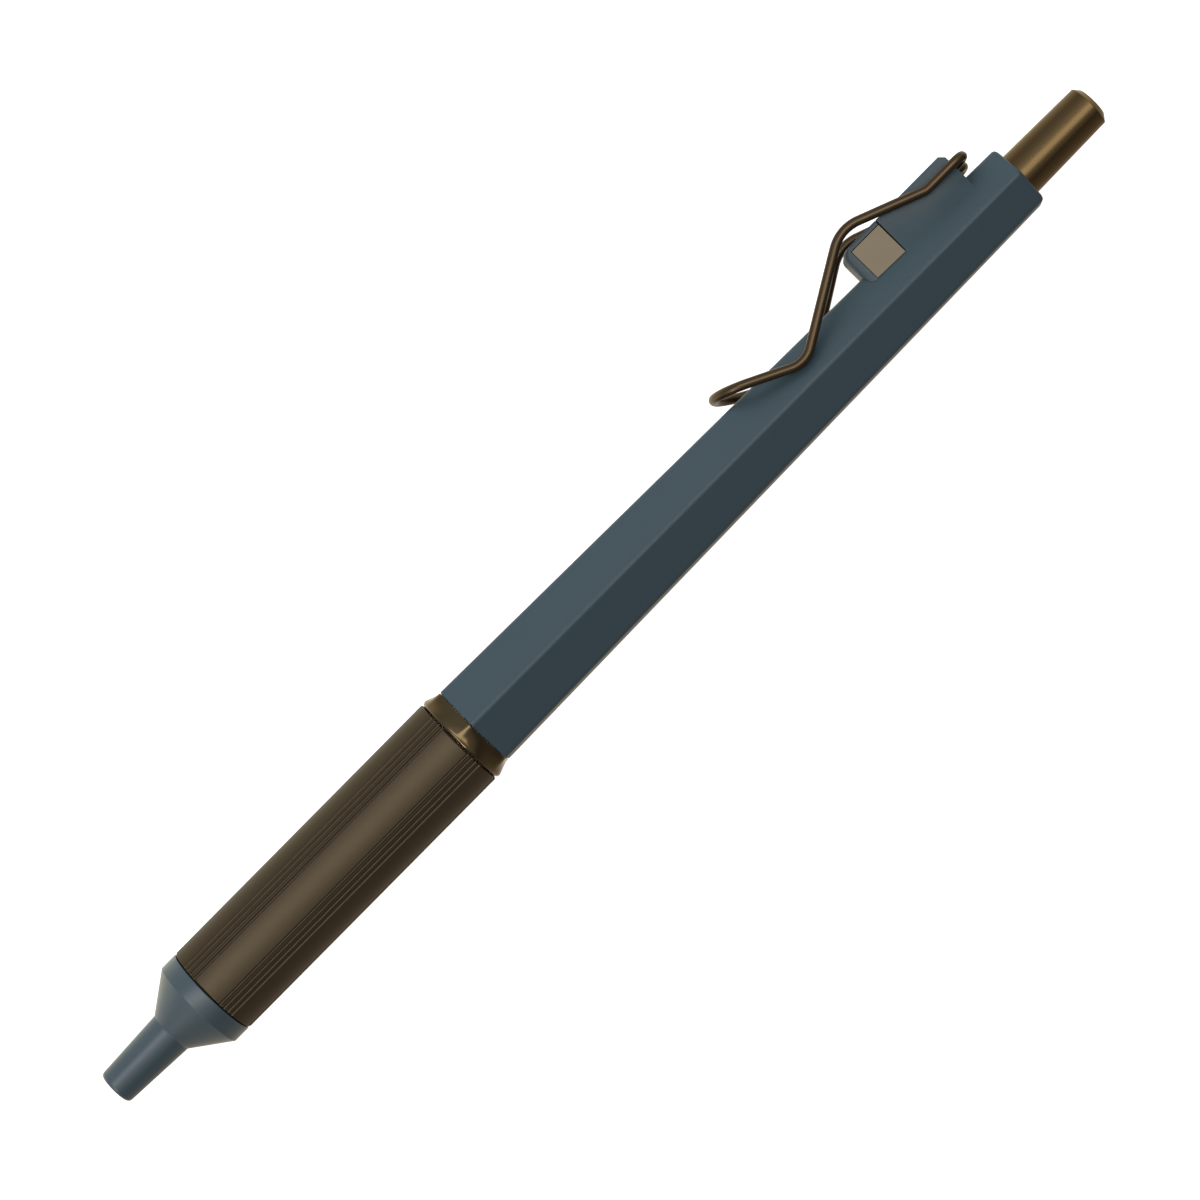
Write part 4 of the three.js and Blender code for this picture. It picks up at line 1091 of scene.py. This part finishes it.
# %% Tip of the refill
BALL_SEAT = 2.995
BALL_SEAT_DEPTH = 0.08
BALL_HOLLOW = 0.155
LIP_RADIUS = 0.2
NEEDLE_END = 4.6
NEEDLE_RADIUS = 0.6
CONE_REAR = 7.1
TIP_BODY_RADIUS = 1.15
TIP_BODY_END = 13.5
STUD_RADIUS = 0.8
STUD_END = 16.6
INK_WAY = 0.4
FINE_INK_WAY = 0.12
SEAT_HOLE = 0.07

tip_start = span("refill_tip")[0]
turned("turned_tip", [
    (tip_start, BALL_HOLLOW, 0.005),
    (tip_start, LIP_RADIUS, 0.02),
    (NEEDLE_END, NEEDLE_RADIUS, 0.3),
    (CONE_REAR, TIP_BODY_RADIUS, 0.3),
    (TIP_BODY_END, TIP_BODY_RADIUS, 0.08),
    (TIP_BODY_END, STUD_RADIUS, 0.04),
    (STUD_END, STUD_RADIUS, 0.1),
    (STUD_END, INK_WAY, 0.04),
    (CONE_REAR, INK_WAY, 0.1),
    (NEEDLE_END, FINE_INK_WAY, 0.05),
    (BALL_SEAT + BALL_SEAT_DEPTH, SEAT_HOLE, 0.01),
    (BALL_SEAT, BALL_HOLLOW, 0.02),
], tip_metal, "tip_steel", "refill", "refill_tip")

# %% [markdown]
# Two balls: a tiny one of hard carbide that writes, and a loose steel one that keeps the ink from
# running back. A sphere is a turned piece whose section is half a circle.

# %% Balls
BALL_FACETS = 48
BALL_RINGS = 32


def whole_ball(name, material, slot_name, node):
    """A sphere: latitude runs from one pole to the other along the pen."""
    low, high = span(node)[:2]
    radius = (high - low) / 2
    latitude = np.linspace(AT_AXIS, np.pi - AT_AXIS, BALL_RINGS)
    section = np.stack([low + radius * (1 - np.cos(latitude)), radius * np.sin(latitude)], axis=-1)
    ball = raw_piece(name, revolved(section, BALL_FACETS))
    finished(ball, material, slot_name, "refill", node)


whole_ball("carbide_ball", ball_metal, "ball_carbide", "writing_ball")
whole_ball("loose_ball", tip_metal, "tip_steel", "backflow_ball")

# %% [markdown]
# A moulded joint holds the tip, the loose ball's chamber and the tube, and its flange is the spring's
# rear seat. Joint and tube are clear, and turned from their sections like the pieces above.

# %% Joint and tube
JOINT_BORE = 0.85
JOINT_RADIUS = 1.25
SPRING_FLANGE = 28.55
SPRING_FLANGE_RADIUS = 1.95
SPRING_FLANGE_END = 29.55
PLUG_RADIUS = 1.15
PLUG_BORE = 0.35
VALVE_CONE = 18.2
VALVE_CONE_END = 18.6

joint_start, joint_end, _, _ = span("refill_joint")
turned("moulded_joint", [
    (joint_start, JOINT_BORE, 0.03),
    (joint_start, JOINT_RADIUS, 0.1),
    (SPRING_FLANGE, JOINT_RADIUS, 0.08),
    (SPRING_FLANGE, SPRING_FLANGE_RADIUS, 0.1),
    (SPRING_FLANGE_END, SPRING_FLANGE_RADIUS, 0.1),
    (SPRING_FLANGE_END, PLUG_RADIUS, 0.05),
    (joint_end, PLUG_RADIUS, 0.15),
    (joint_end, PLUG_BORE, 0.05),
    (VALVE_CONE_END, PLUG_BORE, 0.05),
    (VALVE_CONE, JOINT_BORE, 0.05),
], clear_plastic, "clear_plastic", "refill", "refill_joint")

TUBE_BORE = 1.2
tube_start, tube_end, tube_radius, _ = span("refill_tube")
turned("clear_tube", [
    (tube_start, TUBE_BORE, FINE_EDGE),
    (tube_start, tube_radius, FINE_EDGE),
    (tube_end, tube_radius, FINE_EDGE),
    (tube_end, TUBE_BORE, FINE_EDGE),
], clear_plastic, "clear_plastic", "refill", "refill_tube")

# %% [markdown]
# The ink fills the tube up to a plug of clear grease that follows it. Both cling to the wall, so their
# ends are dished.

# %% Ink and grease
MENISCUS = 0.2
MENISCUS_RINGS = 12
FILLING_FACETS = 64


def filling(name, material, slot_name, node):
    """What fills the tube between two menisci: each end is dished by MENISCUS (1 - share squared)."""
    start, end, radius, _ = span(node)
    reach = np.linspace(AT_AXIS, radius, MENISCUS_RINGS)
    dip = MENISCUS * (1 - (reach / radius) ** 2)
    front = np.stack([start + dip, reach], axis=-1)
    rear = np.stack([end - dip, reach], axis=-1)[::-1]
    piece = raw_piece(name, revolved(np.vstack([front, rear]), FILLING_FACETS))
    finished(piece, material, slot_name, "refill", node)


filling("ink_in_tube", ink, "ink", "ink_column")
filling("grease_plug", grease, "grease", "ink_follower")

# %% [markdown]
# The return spring sits between the nozzle's shoulder and the refill's seat, and shortens when the
# button is pressed. Its path is one helix, and its tube uses the pen's own direction as the steady one.
# The share of its length left at the refill's full travel is worked out but not applied; the piece only
# gets a mesh of its own.

# %% Return spring
SPRING_TURNS = 14
SPRING_RADIUS = 1.7
SPRING_WIRE = 0.175
STEPS_PER_TURN = 32
SPRING_SIDES = 12
spring_from, spring_to = span("return_spring")[:2]
share = np.linspace(0, 1, SPRING_TURNS * STEPS_PER_TURN + 1)
spring_stations = spring_from + SPRING_WIRE + (spring_to - spring_from - 2 * SPRING_WIRE) * share
spring_path = round_axis(spring_stations, SPRING_RADIUS, 2 * np.pi * SPRING_TURNS * share)
spring = tube("coiled_spring", spring_path, SPRING_WIRE, SPRING_SIDES, steady=(1, 0, 0))
finished(spring, spring_metal, "spring_steel", "pen_body", "return_spring")
refill_slide = next(j for j in frame["joints"] if j["name"] == "refill_slide")
travel = refill_slide["range_m"][1] / MM
spring_room = SPRING_FLANGE - SPRING_SEAT
(spring_room - travel) / spring_room
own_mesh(spring)

# %% [markdown]
# Two more mouldings join the halves of the pen: the liner inside the grip and the collar through the
# ring. The knock's plunger, rotor and ribbed guide keep their CAD shapes, which already have every
# tooth and rib, and only get their plastic.

# %% Liner, collar and mechanism
LINER_BORE = 3.4
LINER_THREAD = 3.95
LINER_THREAD_START = 44.35
COLLAR_BORE = 3.2
COLLAR_RADIUS = 3.9
COLLAR_FLANGE_LENGTH = 1.0

liner_start, liner_end, liner_radius, _ = span("grip_liner")
turned("moulded_liner", [
    (liner_start, LINER_BORE, 0.1),
    (liner_start, liner_radius, 0.1),
    (liner_end, liner_radius, 0.1),
    (liner_end, LINER_THREAD, 0.1),
    (LINER_THREAD_START, LINER_THREAD, 0.1),
    (LINER_THREAD_START, LINER_BORE, 0.1),
], white_plastic, "white_plastic", "pen_body", "grip_liner")

collar_start, collar_end, collar_flange, _ = span("joint_collar")
flange_start = ring_start + STOP_GAP / 2
flange_end = flange_start + COLLAR_FLANGE_LENGTH
turned("moulded_collar", [
    (collar_start, COLLAR_BORE, 0.1),
    (collar_start, COLLAR_RADIUS, 0.2),
    (flange_start, COLLAR_RADIUS, 0.05),
    (flange_start, collar_flange, 0.1),
    (flange_end, collar_flange, 0.1),
    (flange_end, COLLAR_RADIUS, 0.05),
    (collar_end, COLLAR_RADIUS, 0.2),
    (collar_end, COLLAR_BORE, 0.1),
], white_plastic, "white_plastic", "pen_body", "joint_collar")

for name in ("knock_plunger", "rotor_cam", "cam_guide"):
    frame["nodes"][name].material_slots[0].material = white_plastic

# %% [markdown]
# The table is a plain white sheet, so large that only the lowest views look past it. Most of its light
# is its own, as on a light table: that keeps the background white and the pen's shadow faint. The pen
# gets its light from below from the world's ramp instead, so the sheet is shown to the camera only.

# %% Table
TABLE_HALF = 6.0
TABLE_GLOW = 0.85
TABLE_WHITE = (0.86, 0.86, 0.86, 1)
table_mesh = bpy.data.meshes.new("table")
corners = np.array([(-1, -1, 0), (1, -1, 0), (1, 1, 0), (-1, 1, 0)]) * TABLE_HALF
table_mesh.from_pydata(corners.tolist(), [], [(0, 1, 2, 3)])
table = bpy.data.objects.new("table", table_mesh)
bpy.context.scene.collection.objects.link(table)
sheet = Finish("white_table", Roughness=0.9, Emission_Color=(1, 1, 1, 1), Emission_Strength=TABLE_GLOW)
sheet.colour(TABLE_WHITE)
table_mesh.materials.append(sheet.material)
table.visible_diffuse = False
table.visible_glossy = False
